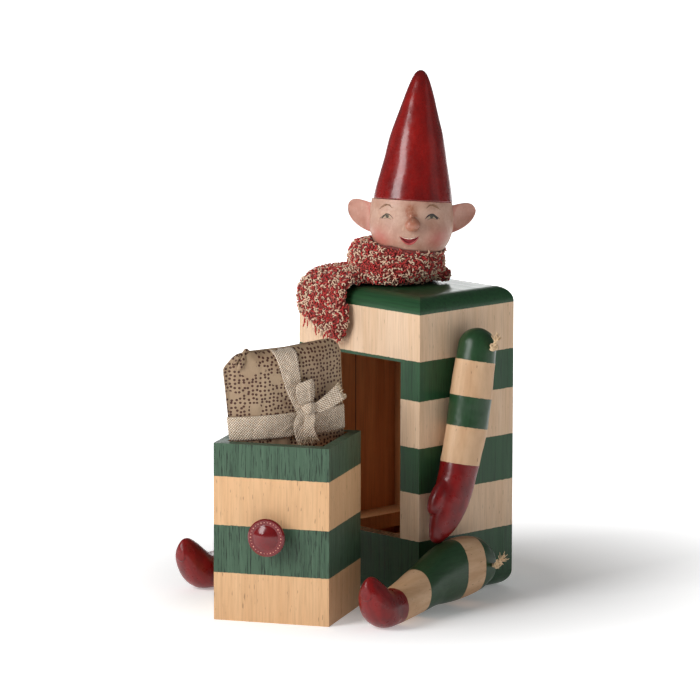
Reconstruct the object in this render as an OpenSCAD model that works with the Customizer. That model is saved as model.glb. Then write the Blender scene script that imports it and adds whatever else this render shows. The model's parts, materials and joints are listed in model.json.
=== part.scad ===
// A wooden elf whose body is a striped box with one tall drawer in it. The head turns on a dowel,
// and the arms and legs hang on two cotton cords that run through the box and are knotted outside.
// Frame: the origin is on the floor under the middle of the box, the front faces -Y, +Z is up.

/* [Box] */
// Width of the box
box_w = 113.8; // [105:0.1:125]
// Depth of the box
box_d = 86.3; // [80:0.1:96]
// Height of the box
box_h = 200; // [198:1:212]
// Radius of the rounded edges of the top and base plates
edge_r = 10; // [4:0.5:10]
// Thickness of the top and base plates
plate_t = 10.5; // [10:0.5:12]
// Thickness of the front panel
front_t = 9.5; // [7:0.5:11]
// Thickness of the back panel
back_t = 8.5; // [7:0.5:9]
// Thickness of the side boards
side_t = 11; // [9:0.5:12]

/* [Drawer bay] */
// Width of the opening in the front panel
bay_w = 78.4; // [78:0.1:80]
// Height of the opening in the front panel
bay_h = 116.4; // [116:0.1:118]
// Height of the runners' top faces above the floor
bay_z = 40.3; // [38:0.1:42]
// Width of each runner
runner_w = 20.5; // [12:0.5:24]
// Thickness of each runner
runner_t = 9.5; // [6:0.5:12]

/* [Drawer] */
// Width of the drawer
drawer_w = 77.1; // [70:0.1:77.4]
// Depth of the drawer, front to back
drawer_d = 70.2; // [62:0.1:72]
// Height of the drawer
drawer_h = 115.2; // [110:0.1:115.4]
// Thickness of the drawer's front board
drawer_front_t = 8; // [6:0.5:9]
// Thickness of the drawer's side and back boards
drawer_wall_t = 6.5; // [5:0.5:7]
// Thickness of the drawer's floor
drawer_floor_t = 6; // [4:0.5:8]
// Diameter of the knob
knob_d = 24.5; // [18:0.5:28]
// Where the drawer is: stood out on the floor, or pushed home in its bay
drawer_place = "out"; // [out, home]

/* [Head] */
// Largest diameter of the head
head_d = 55.2; // [48:0.2:56]
// Height of the hat
hat_h = 86; // [60:1:95]
// How far the head is turned from straight ahead, in degrees
head_turn = 43.5; // [-90:0.5:90]

/* [Limbs] */
// Diameter of an arm at the shoulder
arm_d = 27; // [22:0.5:28]
// Thickness of a leg, side to side
leg_t = 26; // [20:0.5:27]
// Diameter of the cotton cords
cord_d = 2.5; // [2:0.1:3]
// How far the right leg is splayed out, in degrees
right_splay = 9; // [0:0.5:12]
// How far the left leg is splayed out, in degrees
left_splay = 0; // [-2.5:0.5:12]
// How far the left arm is raised above the right one, in degrees
left_raise = 6; // [6:1:20]

/* [Hidden] */

// A gap thinner than a sheet of paper, left round whatever turns or slides
run_gap = 0.3;
// Radial clearance of a glued dowel, and of a dowel that something turns on
glue_gap = 0.02;
turn_gap = 0.06;
// Longer than any board, for cutting tools
far = 400;

// Box
front_y = -box_d / 2;
back_y = box_d / 2;
wall_z = plate_t;
wall_h = box_h - 2 * plate_t;
side_y = front_y + front_t;
side_d = box_d - front_t - back_t;
dowel_r = 2;
dowel_l = 18;

// Head, on its own axis a little behind the middle of the box
neck_y = 4.5;
neck_r = 12;
neck_dowel_r = 5;
neck_dowel_low = box_h - 8;
neck_dowel_high = 232;
head_z = 240;
head_r = head_d / 2;
head_drop = 28;
head_rise = 47.7;
brim_z = 254.4;
hat_lean = 3;
hat_back = 7;
hat_shift = 1;
ear_z = 241;
nose_r = 4.4;
nose_sink = 0.6;

// Scarf: a collar whose middle lies to the front left of the neck, and a tail over the front edge
collar_x = -7.6;
collar_y = -3.4;
collar_z = 213.4;
collar_major = 19.8;
collar_minor = 13;

// Limbs
arm_x = box_w / 2 + 0.8 + arm_d / 2;
arm_y = -5;
arm_z = 166.5;
leg_x = box_w / 2 + 3 + leg_t / 2;
leg_y = -4;
leg_z = 24;
hip_ahead = 13;
hip_r = 19;
bore_r = cord_d / 2 + 0.35;
knot_r = 3.4;

// Drawer, with the middle of its footprint and its turn
out_x = 19.4;
out_y = -124.9;
out_turn = 29.6;
home_lift = 0.6;
drawer_x = drawer_place == "out" ? out_x : 0;
drawer_y = drawer_place == "out" ? out_y : front_y + drawer_d / 2;
drawer_z = drawer_place == "out" ? 0 : bay_z + home_lift;
drawer_turn = drawer_place == "out" ? out_turn : 0;
in_x = drawer_w / 2 - drawer_wall_t;
in_front = -drawer_d / 2 + drawer_front_t;
in_back = drawer_d / 2 - drawer_wall_t;
screw_r = 1.5;

// A box between two corners
module block(lo, hi) {
    translate(lo) cube(hi - lo);
}

// A cylinder along X, from x0 to x1, on the axis through y and z
module rod_x(x0, x1, y, z, r) {
    translate([x0, y, z]) rotate([0, 90, 0]) cylinder(h = x1 - x0, r = r, $fn = 48);
}

// A cylinder along Y, from y0 to y1, on the axis through x and z
module rod_y(y0, y1, x, z, r) {
    translate([x, y0, z]) rotate([-90, 0, 0]) cylinder(h = y1 - y0, r = r, $fn = 48);
}

// ---- Box ----

// A plate of width w with one long pair of edges rounded off, as a flat outline in x and z.
// The rounded edges are at the top.
module edge_outline(w) {
    union() {
        translate([-w / 2, 0]) square([w, plate_t - edge_r]);
        translate([-w / 2 + edge_r, 0]) square([w - 2 * edge_r, plate_t]);
        for (side = [-1, 1])
            intersection() {
                translate([side * (w / 2 - edge_r), plate_t - edge_r]) circle(r = edge_r, $fn = 64);
                translate([side > 0 ? w / 2 - edge_r : -w / 2, plate_t - edge_r])
                    square([edge_r, edge_r]);
            }
    }
}

// A plate whose four upper edges are rounded and meet in mitres
module rounded_plate() {
    intersection() {
        translate([0, box_d / 2, 0]) rotate([90, 0, 0]) linear_extrude(box_d) edge_outline(box_w);
        translate([-box_w / 2, 0, 0]) rotate([90, 0, 90]) linear_extrude(box_w) edge_outline(box_d);
    }
}

module top_plate() {
    color("#285537") difference() {
        translate([0, 0, box_h - plate_t]) rounded_plate();
        translate([0, neck_y, neck_dowel_low])
            cylinder(h = far, r = neck_dowel_r + glue_gap, $fn = 64);
    }
}

module base_plate() {
    color("#285537") translate([0, 0, plate_t]) mirror([0, 0, 1]) rounded_plate();
}

module front_panel() {
    color("#DDBB93") difference() {
        block([-box_w / 2, front_y, wall_z], [box_w / 2, side_y, wall_z + wall_h]);
        block([-bay_w / 2, front_y - 1, bay_z], [bay_w / 2, side_y + 1, bay_z + bay_h]);
        dowel_holes(front_y + front_t / 2);
    }
}

module back_panel() {
    color("#DDBB93") difference() {
        block([-box_w / 2, back_y - back_t, wall_z], [box_w / 2, back_y, wall_z + wall_h]);
        dowel_holes(back_y - back_t / 2);
    }
}

// The glue dowels stand in the joints between the panels and the side boards
dowel_rows = [wall_z + 22, box_h / 2 + 4, wall_z + wall_h - 18];

module dowel_holes(y) {
    for (side = [-1, 1], z = dowel_rows)
        rod_y(y < 0 ? y : y - dowel_l, y < 0 ? y + dowel_l : y,
            side * (box_w - side_t) / 2, z, dowel_r + glue_gap);
}

module panel_dowels() {
    color("#C9A77F") for (side = [-1, 1], z = dowel_rows, at = [0, 1]) {
        x = side * (box_w - side_t) / 2;
        y0 = at == 0 ? front_y + front_t / 2 + 0.2 : back_y - back_t / 2 - dowel_l + 0.2;
        rod_y(y0, y0 + dowel_l - 0.4, x, z, dowel_r);
    }
}

module side_board(side) {
    color("#C9A77F") difference() {
        block([side > 0 ? box_w / 2 - side_t : -box_w / 2, side_y, wall_z],
            [side > 0 ? box_w / 2 : -box_w / 2 + side_t, side_y + side_d, wall_z + wall_h]);
        rod_x(-far, far, arm_y, arm_z, bore_r);
        rod_x(-far, far, leg_y, leg_z, bore_r);
        dowel_holes(front_y + front_t / 2);
        dowel_holes(back_y - back_t / 2);
    }
}

module left_side() { side_board(-1); }
module right_side() { side_board(1); }

module runner(side) {
    wall_x = box_w / 2 - side_t;
    color("#D8B68F")
        block([side > 0 ? wall_x - runner_w : -wall_x, side_y, bay_z - runner_t],
            [side > 0 ? wall_x : -wall_x + runner_w, side_y + side_d, bay_z]);
}

module left_runner() { runner(-1); }
module right_runner() { runner(1); }

// ---- Head ----

module neck_dowel() {
    color("#C9A77F") translate([0, neck_y, neck_dowel_low])
        cylinder(h = neck_dowel_high - neck_dowel_low - 0.5, r = neck_dowel_r, $fn = 64);
}

// Everything of the head is drawn about its own axis, facing -Y, and turned to where it looks
module at_head() {
    translate([0, neck_y, 0]) rotate([0, 0, head_turn]) children();
}

// The turned head and neck, grown by a margin, with heights above the floor
neck_angle = acos(neck_r / head_r);
brow_angle = asin((brim_z - head_z) / head_rise);
function head_outline(grow, low) = concat(
    [[0, low], [neck_r + grow, low]],
    [for (i = [0 : 10]) let (a = neck_angle * (1 - i / 10))
        [(head_r + grow) * cos(a), head_z - (head_drop + grow) * sin(a)]],
    [for (i = [1 : 5]) let (a = brow_angle * i / 5 * 1.6)
        [(head_r + grow) * cos(a), head_z + head_rise * sin(a)]],
    [[0, head_z + head_rise * sin(brow_angle * 1.6)]]);

module head_form(grow = 0, low = box_h + run_gap) {
    rotate_extrude($fn = 96) polygon(head_outline(grow, low));
}

// Where the brim of the hat is, with the hat's lean to one side and back
module at_brim() {
    translate([hat_shift, 0, brim_z]) rotate([-hat_back, hat_lean, 0]) children();
}

hat_dowel_r = 3;
hat_dowel_l = 16;

module head() {
    color("#E3B799") at_head() difference() {
        head_form();
        at_brim() translate([-far / 2, -far / 2, 0]) cube(far);
        translate([0, 0, box_h - 1])
            cylinder(h = neck_dowel_high - box_h + 1, r = neck_dowel_r + turn_gap, $fn = 64);
        at_brim() translate([0, 0, -hat_dowel_l / 2])
            cylinder(h = hat_dowel_l, r = hat_dowel_r + glue_gap, $fn = 48);
    }
}

// The hat's radius at shares of its height: a full cone, slimmer towards its round tip
hat_profile = [[0, 26.2], [0.05, 25.5], [0.115, 24.4], [0.21, 22.6], [0.3, 20.9], [0.4, 19.2], [0.5, 17.3],
    [0.6, 14.9], [0.69, 12.5], [0.78, 10.1], [0.86, 7.9], [0.92, 6.1], [0.96, 4.5], [0.985, 2.9], [1, 0]];

module hat() {
    color("#8E2220") at_head() at_brim() difference() {
        rotate_extrude($fn = 96) polygon(concat([[0, 0]], [for (p = hat_profile) [p[1], hat_h * p[0]]]));
        translate([0, 0, -1]) cylinder(h = hat_dowel_l / 2 + 1, r = hat_dowel_r + glue_gap, $fn = 48);
    }
}

module hat_dowel() {
    color("#C9A77F") at_head() at_brim() translate([0, 0, 0.2 - hat_dowel_l / 2])
        cylinder(h = hat_dowel_l - 0.4, r = hat_dowel_r, $fn = 48);
}

// A button nose: most of a ball, cut flat where it is glued on
module nose() {
    color("#D9A084") at_head() translate([0, -head_r, head_z + 0.5]) rotate([90, 0, 0])
        rotate_extrude($fn = 48) polygon(concat([[0, 0]],
            [for (i = [0 : 16]) let (a = -asin(nose_sink / nose_r) + (90 + asin(nose_sink / nose_r)) * i / 16)
                [i == 16 ? 0 : nose_r * cos(a), nose_sink + nose_r * sin(a)]]));
}

// A pointed ear: a thin leaf from the side of the head, out, up and a little back
module ear(side) {
    color("#E0B090") at_head() difference() {
        hull() {
            translate([side * (head_r - 3), 1, ear_z - 8]) scale([1, 0.7, 1]) sphere(r = 3.6, $fn = 16);
            translate([side * (head_r - 3), 1, ear_z + 6]) scale([1, 0.7, 1]) sphere(r = 4.4, $fn = 16);
            translate([side * (head_r + 4.5), 4, ear_z + 2]) scale([1, 0.55, 1]) sphere(r = 6, $fn = 16);
            translate([side * 38, 5, ear_z + 7]) scale([1, 0.7, 1]) sphere(r = 3.4, $fn = 16);
        }
        head_form(0.01);
    }
}

module left_ear() { ear(-1); }
module right_ear() { ear(1); }

// ---- Scarf ----

// The ends of the crossways bars that the tail is laid over, left and right, from the collar down
tail_r = 5.2;
tail_bars = [
    [[-36, -14, 206.4], [-10, -34, 206.4]],
    [[-45, -30, 205.8], [-9, -42, 205.8]],
    [[-48, -41.5, 204.6], [-9, -44.5, 204.4]],
    [[-49, -48.6, 196], [-9, -48.6, 196.4]],
    [[-48.5, -48.6, 186], [-9.5, -48.6, 184]],
    [[-46.5, -48.6, 180], [-14, -48.6, 170]]];
// The other end, which peeps out behind the collar: where it starts and stops, and its radius there
short_end = [[9, 11, 209], [19.5, 19.8, 204.5]];
short_end_r = [7, 3.9];

module scarf() {
    color("#C08070") {
        difference() {
            translate([collar_x, neck_y + collar_y, collar_z])
                rotate_extrude($fn = 64) translate([collar_major, 0]) circle(r = collar_minor, $fn = 32);
            translate([0, neck_y, 0]) head_form(run_gap + 0.1, box_h - 5);
        }
        for (i = [0 : len(tail_bars) - 2])
            hull() for (k = [i, i + 1], end = tail_bars[k]) translate(end) sphere(r = tail_r, $fn = 16);
        difference() {
            hull() for (k = [0, 1]) translate(short_end[k]) sphere(r = short_end_r[k], $fn = 16);
            translate([0, neck_y, 0]) head_form(run_gap + 0.1, box_h - 5);
        }
    }
}

// ---- Arms ----

// Stations down an arm from the cord: how far forward, how high, and the radius
arm_stations = [[0, -0.5, arm_d / 2 - 1], [5.8, -30, arm_d / 2], [9.4, -52, 13.3],
    [15.4, -75, 12.6], [22.6, -97, 12.2], [29.4, -111, 9.4], [35.4, -120, 5.2]];
thumb_stations = [[27.5, -85, 8], [38.4, -99, 5.2]];

module arm(side, raise) {
    color("#DDBB93") difference() {
        translate([side * arm_x, arm_y, arm_z]) rotate([-raise, 0, 0]) {
            for (i = [0 : len(arm_stations) - 2]) hull() for (k = [i, i + 1])
                translate([0, -arm_stations[k][0], arm_stations[k][1]])
                    sphere(r = arm_stations[k][2], $fn = 20);
            hull() for (s = thumb_stations) translate([0, -s[0], s[1]]) sphere(r = s[2], $fn = 16);
        }
        rod_x(-far, far, arm_y, arm_z, bore_r);
    }
}

module left_arm() { arm(-1, left_raise); }
module right_arm() { arm(1, 0); }

// ---- Legs ----

// Stations along a leg from the cord: how far forward, height above the cord, half height, half width
leg_stations = [[17, 0.2, 19.6, leg_t / 2], [31, -0.6, 19.4, leg_t / 2], [46, -2.4, 18, leg_t / 2 - 0.2],
    [64, -6, 14.8, leg_t / 2 - 0.6], [96, -11.8, 11.6, leg_t / 2 - 1]];

module leg_station(s) {
    translate([0, -s[0], s[1]]) scale([s[3] / s[2], 0.6, 1]) sphere(r = s[2], $fn = 20);
}

// The hip: a thick disc with well rounded edges, just ahead of the cord
module hip() {
    round_r = 9;
    translate([0, -hip_ahead, 0]) rotate([0, 90, 0]) rotate_extrude($fn = 36) for (s = [-1, 1])
        translate([hip_r - round_r, s * (leg_t / 2 - round_r)]) circle(r = round_r, $fn = 16);
}

module leg(side, splay) {
    color("#DDBB93") difference() {
        translate([side * leg_x, leg_y, leg_z]) rotate([0, 0, side * splay]) {
            hull() {
                hip();
                leg_station(leg_stations[0]);
            }
            for (i = [0 : len(leg_stations) - 2])
                hull() {
                    leg_station(leg_stations[i]);
                    leg_station(leg_stations[i + 1]);
                }
            hull() {
                leg_station(leg_stations[len(leg_stations) - 1]);
                translate([0, -110, -11.8]) sphere(r = 12, $fn = 20);
                translate([0, -118.5, -6.4]) sphere(r = 11, $fn = 20);
            }
            hull() {
                translate([0, -118, -5.6]) sphere(r = 10.6, $fn = 20);
                translate([0, -126, 6.2]) sphere(r = 4.8, $fn = 20);
            }
        }
        rod_x(-far, far, leg_y, leg_z, bore_r);
    }
}

module left_leg() { leg(-1, left_splay); }
module right_leg() { leg(1, right_splay); }

// ---- Cords ----

// A cord straight through the box, with an overhand knot and a short frayed end at each side
module cord(y, z, outer_x) {
    color("#D6BE94") {
        rod_x(-outer_x - 2, outer_x + 2, y, z, cord_d / 2);
        for (side = [-1, 1]) translate([side * (outer_x + knot_r), y, z]) {
            sphere(r = knot_r, $fn = 32);
            rotate([0, side * 42, 0]) cylinder(h = 9, r1 = 1.5, r2 = 2.4, $fn = 24);
        }
    }
}

module arm_cord() { cord(arm_y, arm_z, arm_x + arm_d / 2 + run_gap); }
module leg_cord() { cord(leg_y, leg_z, leg_x + leg_t / 2 + run_gap); }

// ---- Drawer ----

// Everything of the drawer is drawn about the middle of its footprint, facing -Y
module at_drawer() {
    translate([drawer_x, drawer_y, drawer_z]) rotate([0, 0, drawer_turn]) children();
}

drawer_dowel_rows = [16, drawer_h / 2, drawer_h - 16];
drawer_dowel_r = 1.5;
drawer_dowel_l = 16;

module drawer_dowel_holes(y, toward) {
    for (side = [-1, 1], z = drawer_dowel_rows)
        rod_y(toward > 0 ? y : y - drawer_dowel_l, toward > 0 ? y + drawer_dowel_l : y,
            side * (drawer_w - drawer_wall_t) / 2, z, drawer_dowel_r + glue_gap);
}

front_dowel_y = -drawer_d / 2 + drawer_front_t / 2;

module drawer_dowels() {
    color("#C9A77F") at_drawer() for (side = [-1, 1], z = drawer_dowel_rows)
        rod_y(front_dowel_y + 0.2, front_dowel_y + drawer_dowel_l - 0.2,
            side * (drawer_w - drawer_wall_t) / 2, z, drawer_dowel_r);
}

module drawer_front() {
    color("#DDBB93") at_drawer() difference() {
        block([-drawer_w / 2, -drawer_d / 2, 0], [drawer_w / 2, in_front, drawer_h]);
        rod_y(-far, far, 0, drawer_h / 2, screw_r + 0.3);
        drawer_dowel_holes(front_dowel_y, 1);
    }
}

module drawer_side(side) {
    color("#C9A77F") at_drawer() difference() {
        block([side > 0 ? in_x : -drawer_w / 2, in_front, 0],
            [side > 0 ? drawer_w / 2 : -in_x, drawer_d / 2, drawer_h]);
        drawer_dowel_holes(front_dowel_y, 1);
    }
}

module drawer_left() { drawer_side(-1); }
module drawer_right() { drawer_side(1); }

module drawer_back() {
    color("#B99870") at_drawer() block([-in_x, in_back, 0], [in_x, drawer_d / 2, drawer_h]);
}

module drawer_floor() {
    color("#B99870") at_drawer() block([-in_x, in_front, 0], [in_x, in_back, drawer_floor_t]);
}

// The knob is turned about -Y: a stem, a flat rim and a low dome
knob_stem_r = 6.2;
knob_stem_l = 8.5;
knob_rim_t = 3;
knob_dome_r = 8.3;
knob_dome_h = 2.6;
knob_hole = 9;

module knob() {
    dome_r = (knob_dome_r * knob_dome_r + knob_dome_h * knob_dome_h) / (2 * knob_dome_h);
    dome_a = asin(knob_dome_r / dome_r);
    top = knob_stem_l + knob_rim_t;
    color("#8E1F2B") at_drawer() translate([0, -drawer_d / 2, drawer_h / 2]) rotate([90, 0, 0])
        rotate_extrude($fn = 72) polygon(concat(
            [[0, knob_hole], [screw_r + 0.05, knob_hole], [screw_r + 0.05, 0], [knob_stem_r, 0],
                [knob_stem_r - 0.6, knob_stem_l * 0.5], [knob_stem_r + 1.4, knob_stem_l * 0.85],
                [knob_d / 2 - 1, knob_stem_l], [knob_d / 2, knob_stem_l + 0.9],
                [knob_d / 2, top - 0.8], [knob_d / 2 - 0.8, top]],
            [for (i = [0 : 8]) let (a = dome_a * (1 - i / 8))
                [dome_r * sin(a), top + knob_dome_h - dome_r * (1 - cos(a))]]));
}

module knob_screw() {
    head_y = in_front;
    color("silver") at_drawer() {
        rod_y(-drawer_d / 2 - knob_hole + 0.5, head_y + 0.1, 0, drawer_h / 2, screw_r);
        rod_y(head_y + 0.02, head_y + 2.2, 0, drawer_h / 2, 3.4);
    }
}

// ---- Gift ----

// The parcel is a soft pouch, thin at its two ends, that stands corner to corner in the drawer
// and leans a little. It is wedged there with its foot above the drawer's floor.
gift_turn = 39;
gift_lean = -2.6;
gift_y = 0.6;
gift_low = 66;
gift_high = 176;
gift_w = 78;
gift_t = 20;
gift_pivot_z = 120;
gift_corner_r = 9;
gift_foot_r = 20;
ribbon_w = 15.5;
ribbon_t = 0.7;
ribbon_z = 124.5;
tie_x = 4;
knot_at = [6.5, -11.6, 138];

module at_gift() {
    at_drawer() translate([0, gift_y, gift_pivot_z]) rotate([0, 0, gift_turn]) rotate([0, gift_lean, 0])
        translate([0, 0, -gift_pivot_z]) children();
}

// The pouch grown by a margin: a lens in plan, cut to an outline with round corners
module pouch(grow = 0) {
    half_w = gift_w / 2 + 1;
    bow_r = (half_w * half_w + gift_t * gift_t / 4) / gift_t;
    w = gift_w / 2 + grow;
    low = gift_low - grow;
    high = gift_high + grow;
    intersection() {
        translate([0, 0, low]) linear_extrude(high - low) intersection() {
            translate([0, bow_r - gift_t / 2]) circle(r = bow_r + grow, $fn = 128);
            translate([0, gift_t / 2 - bow_r]) circle(r = bow_r + grow, $fn = 128);
        }
        translate([0, far / 2, 0]) rotate([90, 0, 0]) linear_extrude(far) union() {
            translate([-w, low + gift_foot_r]) square([2 * w, high - low - gift_foot_r - gift_corner_r]);
            translate([gift_corner_r - w, high - 2 * gift_corner_r])
                square([2 * (w - gift_corner_r), 2 * gift_corner_r]);
            translate([gift_foot_r - w, low]) square([2 * (w - gift_foot_r), 2 * gift_foot_r]);
            for (side = [-1, 1]) {
                translate([side * (w - gift_corner_r), high - gift_corner_r])
                    circle(r = gift_corner_r, $fn = 48);
                translate([side * (w - gift_foot_r), low + gift_foot_r]) circle(r = gift_foot_r, $fn = 64);
            }
        }
    }
}

module gift_parcel() {
    color("#A08B6C") at_gift() pouch();
}

// One band round the middle and one over the top, as one piece where they cross
module gift_ribbon() {
    color("#C9B79F") at_gift() difference() {
        intersection() {
            pouch(ribbon_t);
            union() {
                block([-far, -far, ribbon_z - ribbon_w / 2], [far, far, ribbon_z + ribbon_w / 2]);
                block([tie_x - ribbon_w / 2, -far, ribbon_z], [tie_x + ribbon_w / 2, far, far]);
            }
        }
        pouch(0.01);
    }
}

// A flat tail from one point to another, with a width at each end
module ribbon_tail(from, to, w0, w1) {
    hull() {
        translate(from) for (s = [-1, 1]) translate([s * w0 / 2, 0, 0]) sphere(r = 0.9, $fn = 12);
        translate(to) for (s = [-1, 1]) translate([0, 0, 0]) rotate([0, to[0] > from[0] + 8 ? 60 : 0, 0])
            translate([s * w1 / 2, 0, 0]) sphere(r = 0.9, $fn = 12);
    }
}

module gift_bow() {
    color("#C9B79F") at_gift() difference() {
        union() {
            translate(knot_at + [0, -2, 0]) scale([1.3, 0.7, 1.2]) sphere(r = 5, $fn = 24);
            ribbon_tail(knot_at + [0, -2.6, -3], [8, -14.2, 117], 6, 12);
            ribbon_tail(knot_at + [2, -2.4, -1], [27, -12.6, 140], 5, 12);
        }
        pouch(ribbon_t + 0.03);
    }
}

front_panel();
back_panel();
left_side();
right_side();
top_plate();
base_plate();
left_runner();
right_runner();
panel_dowels();
neck_dowel();
head();
nose();
left_ear();
right_ear();
hat();
hat_dowel();
scarf();
left_arm();
right_arm();
left_leg();
right_leg();
arm_cord();
leg_cord();
drawer_front();
drawer_left();
drawer_right();
drawer_back();
drawer_floor();
drawer_dowels();
knob();
knob_screw();
gift_parcel();
gift_ribbon();
gift_bow();
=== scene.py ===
import json
import math

import bmesh
import bpy
import numpy as np
from mathutils import Matrix, Vector, noise
from mathutils.bvhtree import BVHTree


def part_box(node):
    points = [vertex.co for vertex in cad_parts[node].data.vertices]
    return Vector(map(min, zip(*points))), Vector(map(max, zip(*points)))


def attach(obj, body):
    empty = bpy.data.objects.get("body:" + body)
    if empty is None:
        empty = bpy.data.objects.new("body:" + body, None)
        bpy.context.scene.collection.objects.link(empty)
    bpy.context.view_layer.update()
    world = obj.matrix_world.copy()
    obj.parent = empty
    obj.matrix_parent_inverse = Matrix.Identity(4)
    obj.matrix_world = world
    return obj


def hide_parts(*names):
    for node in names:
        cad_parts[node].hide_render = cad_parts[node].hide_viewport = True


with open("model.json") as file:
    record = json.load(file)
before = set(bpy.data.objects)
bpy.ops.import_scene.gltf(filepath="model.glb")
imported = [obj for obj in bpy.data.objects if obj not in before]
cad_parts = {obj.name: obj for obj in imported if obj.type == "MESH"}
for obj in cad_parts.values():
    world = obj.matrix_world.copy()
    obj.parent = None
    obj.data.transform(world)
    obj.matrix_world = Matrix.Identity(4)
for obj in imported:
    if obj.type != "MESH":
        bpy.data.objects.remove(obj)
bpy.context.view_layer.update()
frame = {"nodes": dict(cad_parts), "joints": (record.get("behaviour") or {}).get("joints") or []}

MM = 0.001
scene = bpy.context.scene
joints = {j["name"]: j for j in frame["joints"]}
nodes = frame["nodes"]


# ---------------------------------------------------------------- mesh helpers

def add_piece(name, verts, faces, body, material, replaces=(), smooth=True):
    """A mesh object, in metres in the row frame, that rides on a body."""
    mesh = bpy.data.meshes.new(name)
    mesh.from_pydata([tuple(v) for v in verts], [], [tuple(f) for f in faces])
    whole = bmesh.new()
    whole.from_mesh(mesh)
    bmesh.ops.recalc_face_normals(whole, faces=whole.faces)
    whole.to_mesh(mesh)
    whole.free()
    piece = bpy.data.objects.new(name, mesh)
    scene.collection.objects.link(piece)
    mesh.materials.append(material)
    if smooth:
        mesh.shade_smooth()
    if replaces:
        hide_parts(*replaces)
    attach(piece, body)
    return piece


def set_note(piece, name, values):
    """Keeps a number for each vertex of a piece, for its material to read."""
    attribute = piece.data.attributes.new(name, "FLOAT", "POINT")
    attribute.data.foreach_set("value", np.asarray(values, np.float32))


def unit(vector):
    """The vector at length 1."""
    return vector / np.linalg.norm(vector)


def unit_rows(rows):
    """Each row at length 1."""
    return rows / np.linalg.norm(rows, axis=1)[:, None]


def circle(count):
    """Evenly spread angles once round, from 0."""
    return [2 * math.pi * k / count for k in range(count)]


def bent(value, power):
    """A power of a sine or cosine that keeps its sign: below 1 it squares a circle off."""
    return math.copysign(abs(value) ** power, value)


def evenly(values, count):
    """Values taken at even steps, as count values."""
    return np.interp(np.linspace(0, 1, count), np.linspace(0, 1, len(values)), values)


def at_station(table, where):
    """What a table of (place, value) pairs says between its places."""
    return float(np.interp(where, [place for place, _ in table], [value for _, value in table]))


def wrapped_faces(count, around):
    """Faces of a skin over count rings that close on themselves, as a torus does."""
    return [(i * around + j, i * around + (j + 1) % around,
             (i + 1) % count * around + (j + 1) % around, (i + 1) % count * around + j)
            for i in range(count) for j in range(around)]


def loft(rings):
    """Vertices and faces of a closed skin over rings of equally many points, with both ends capped."""
    rings = np.asarray(rings, float)
    count, around = rings.shape[:2]
    verts = list(rings.reshape(-1, 3))
    faces = []
    for i in range(count - 1):
        for k in range(around):
            a, b = i * around + k, i * around + (k + 1) % around
            faces.append((a, b, b + around, a + around))
    for ring, flip in ((0, True), (count - 1, False)):
        verts.append(rings[ring].mean(0))
        centre = len(verts) - 1
        for k in range(around):
            a, b = ring * around + k, ring * around + (k + 1) % around
            faces.append((b, a, centre) if flip else (a, b, centre))
    return verts, faces


def merge(parts):
    """Joins several (verts, faces) into one."""
    verts, faces = [], []
    for v, f in parts:
        base = len(verts)
        verts.extend(v)
        faces.extend(tuple(i + base for i in face) for face in f)
    return verts, faces


def smooth_line(points, count):
    """A Catmull-Rom curve through the points, any number of columns, as count evenly spread rows."""
    p = np.asarray(points, float)
    p = np.vstack([2 * p[0] - p[1], p, 2 * p[-1] - p[-2]])
    spans = len(p) - 3
    out = []
    for t in np.linspace(0, spans, count):
        i = min(int(t), spans - 1)
        u = t - i
        a, b, c, d = p[i:i + 4]
        out.append(0.5 * (2 * b + (c - a) * u + (2 * a - 5 * b + 4 * c - d) * u * u
                          + (3 * b - a - 3 * c + d) * u ** 3))
    return np.array(out)


def tube(path, radii, sides=8, up=(0, 0, 1), flat=1.0):
    """A closed tube along a path. flat squashes it along its own second direction."""
    path = np.asarray(path, float)
    radii = np.broadcast_to(np.asarray(radii, float), (len(path),))
    tangents = np.gradient(path, axis=0)
    tangents /= np.maximum(np.linalg.norm(tangents, axis=1), 1e-12)[:, None]
    side = np.cross(tangents[0], up)
    if np.linalg.norm(side) < 1e-3:
        side = np.cross(tangents[0], (1, 0, 0.3))
    angles = circle(sides)
    rings = []
    for p, t, r in zip(path, tangents, radii):
        side = unit(side - t * (side @ t))
        other = np.cross(t, side)
        rings.append([p + r * (math.cos(a) * side + flat * math.sin(a) * other) for a in angles])
    return loft(rings)


def lumps(p, size, seed=0.0):
    """A smooth random number from about -1 to 1 for a place in metres, with lumps of that size."""
    return noise.noise(Vector((p[0] / size + seed, p[1] / size, p[2] / size)))


# ---------------------------------------------------------------- node helpers

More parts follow.
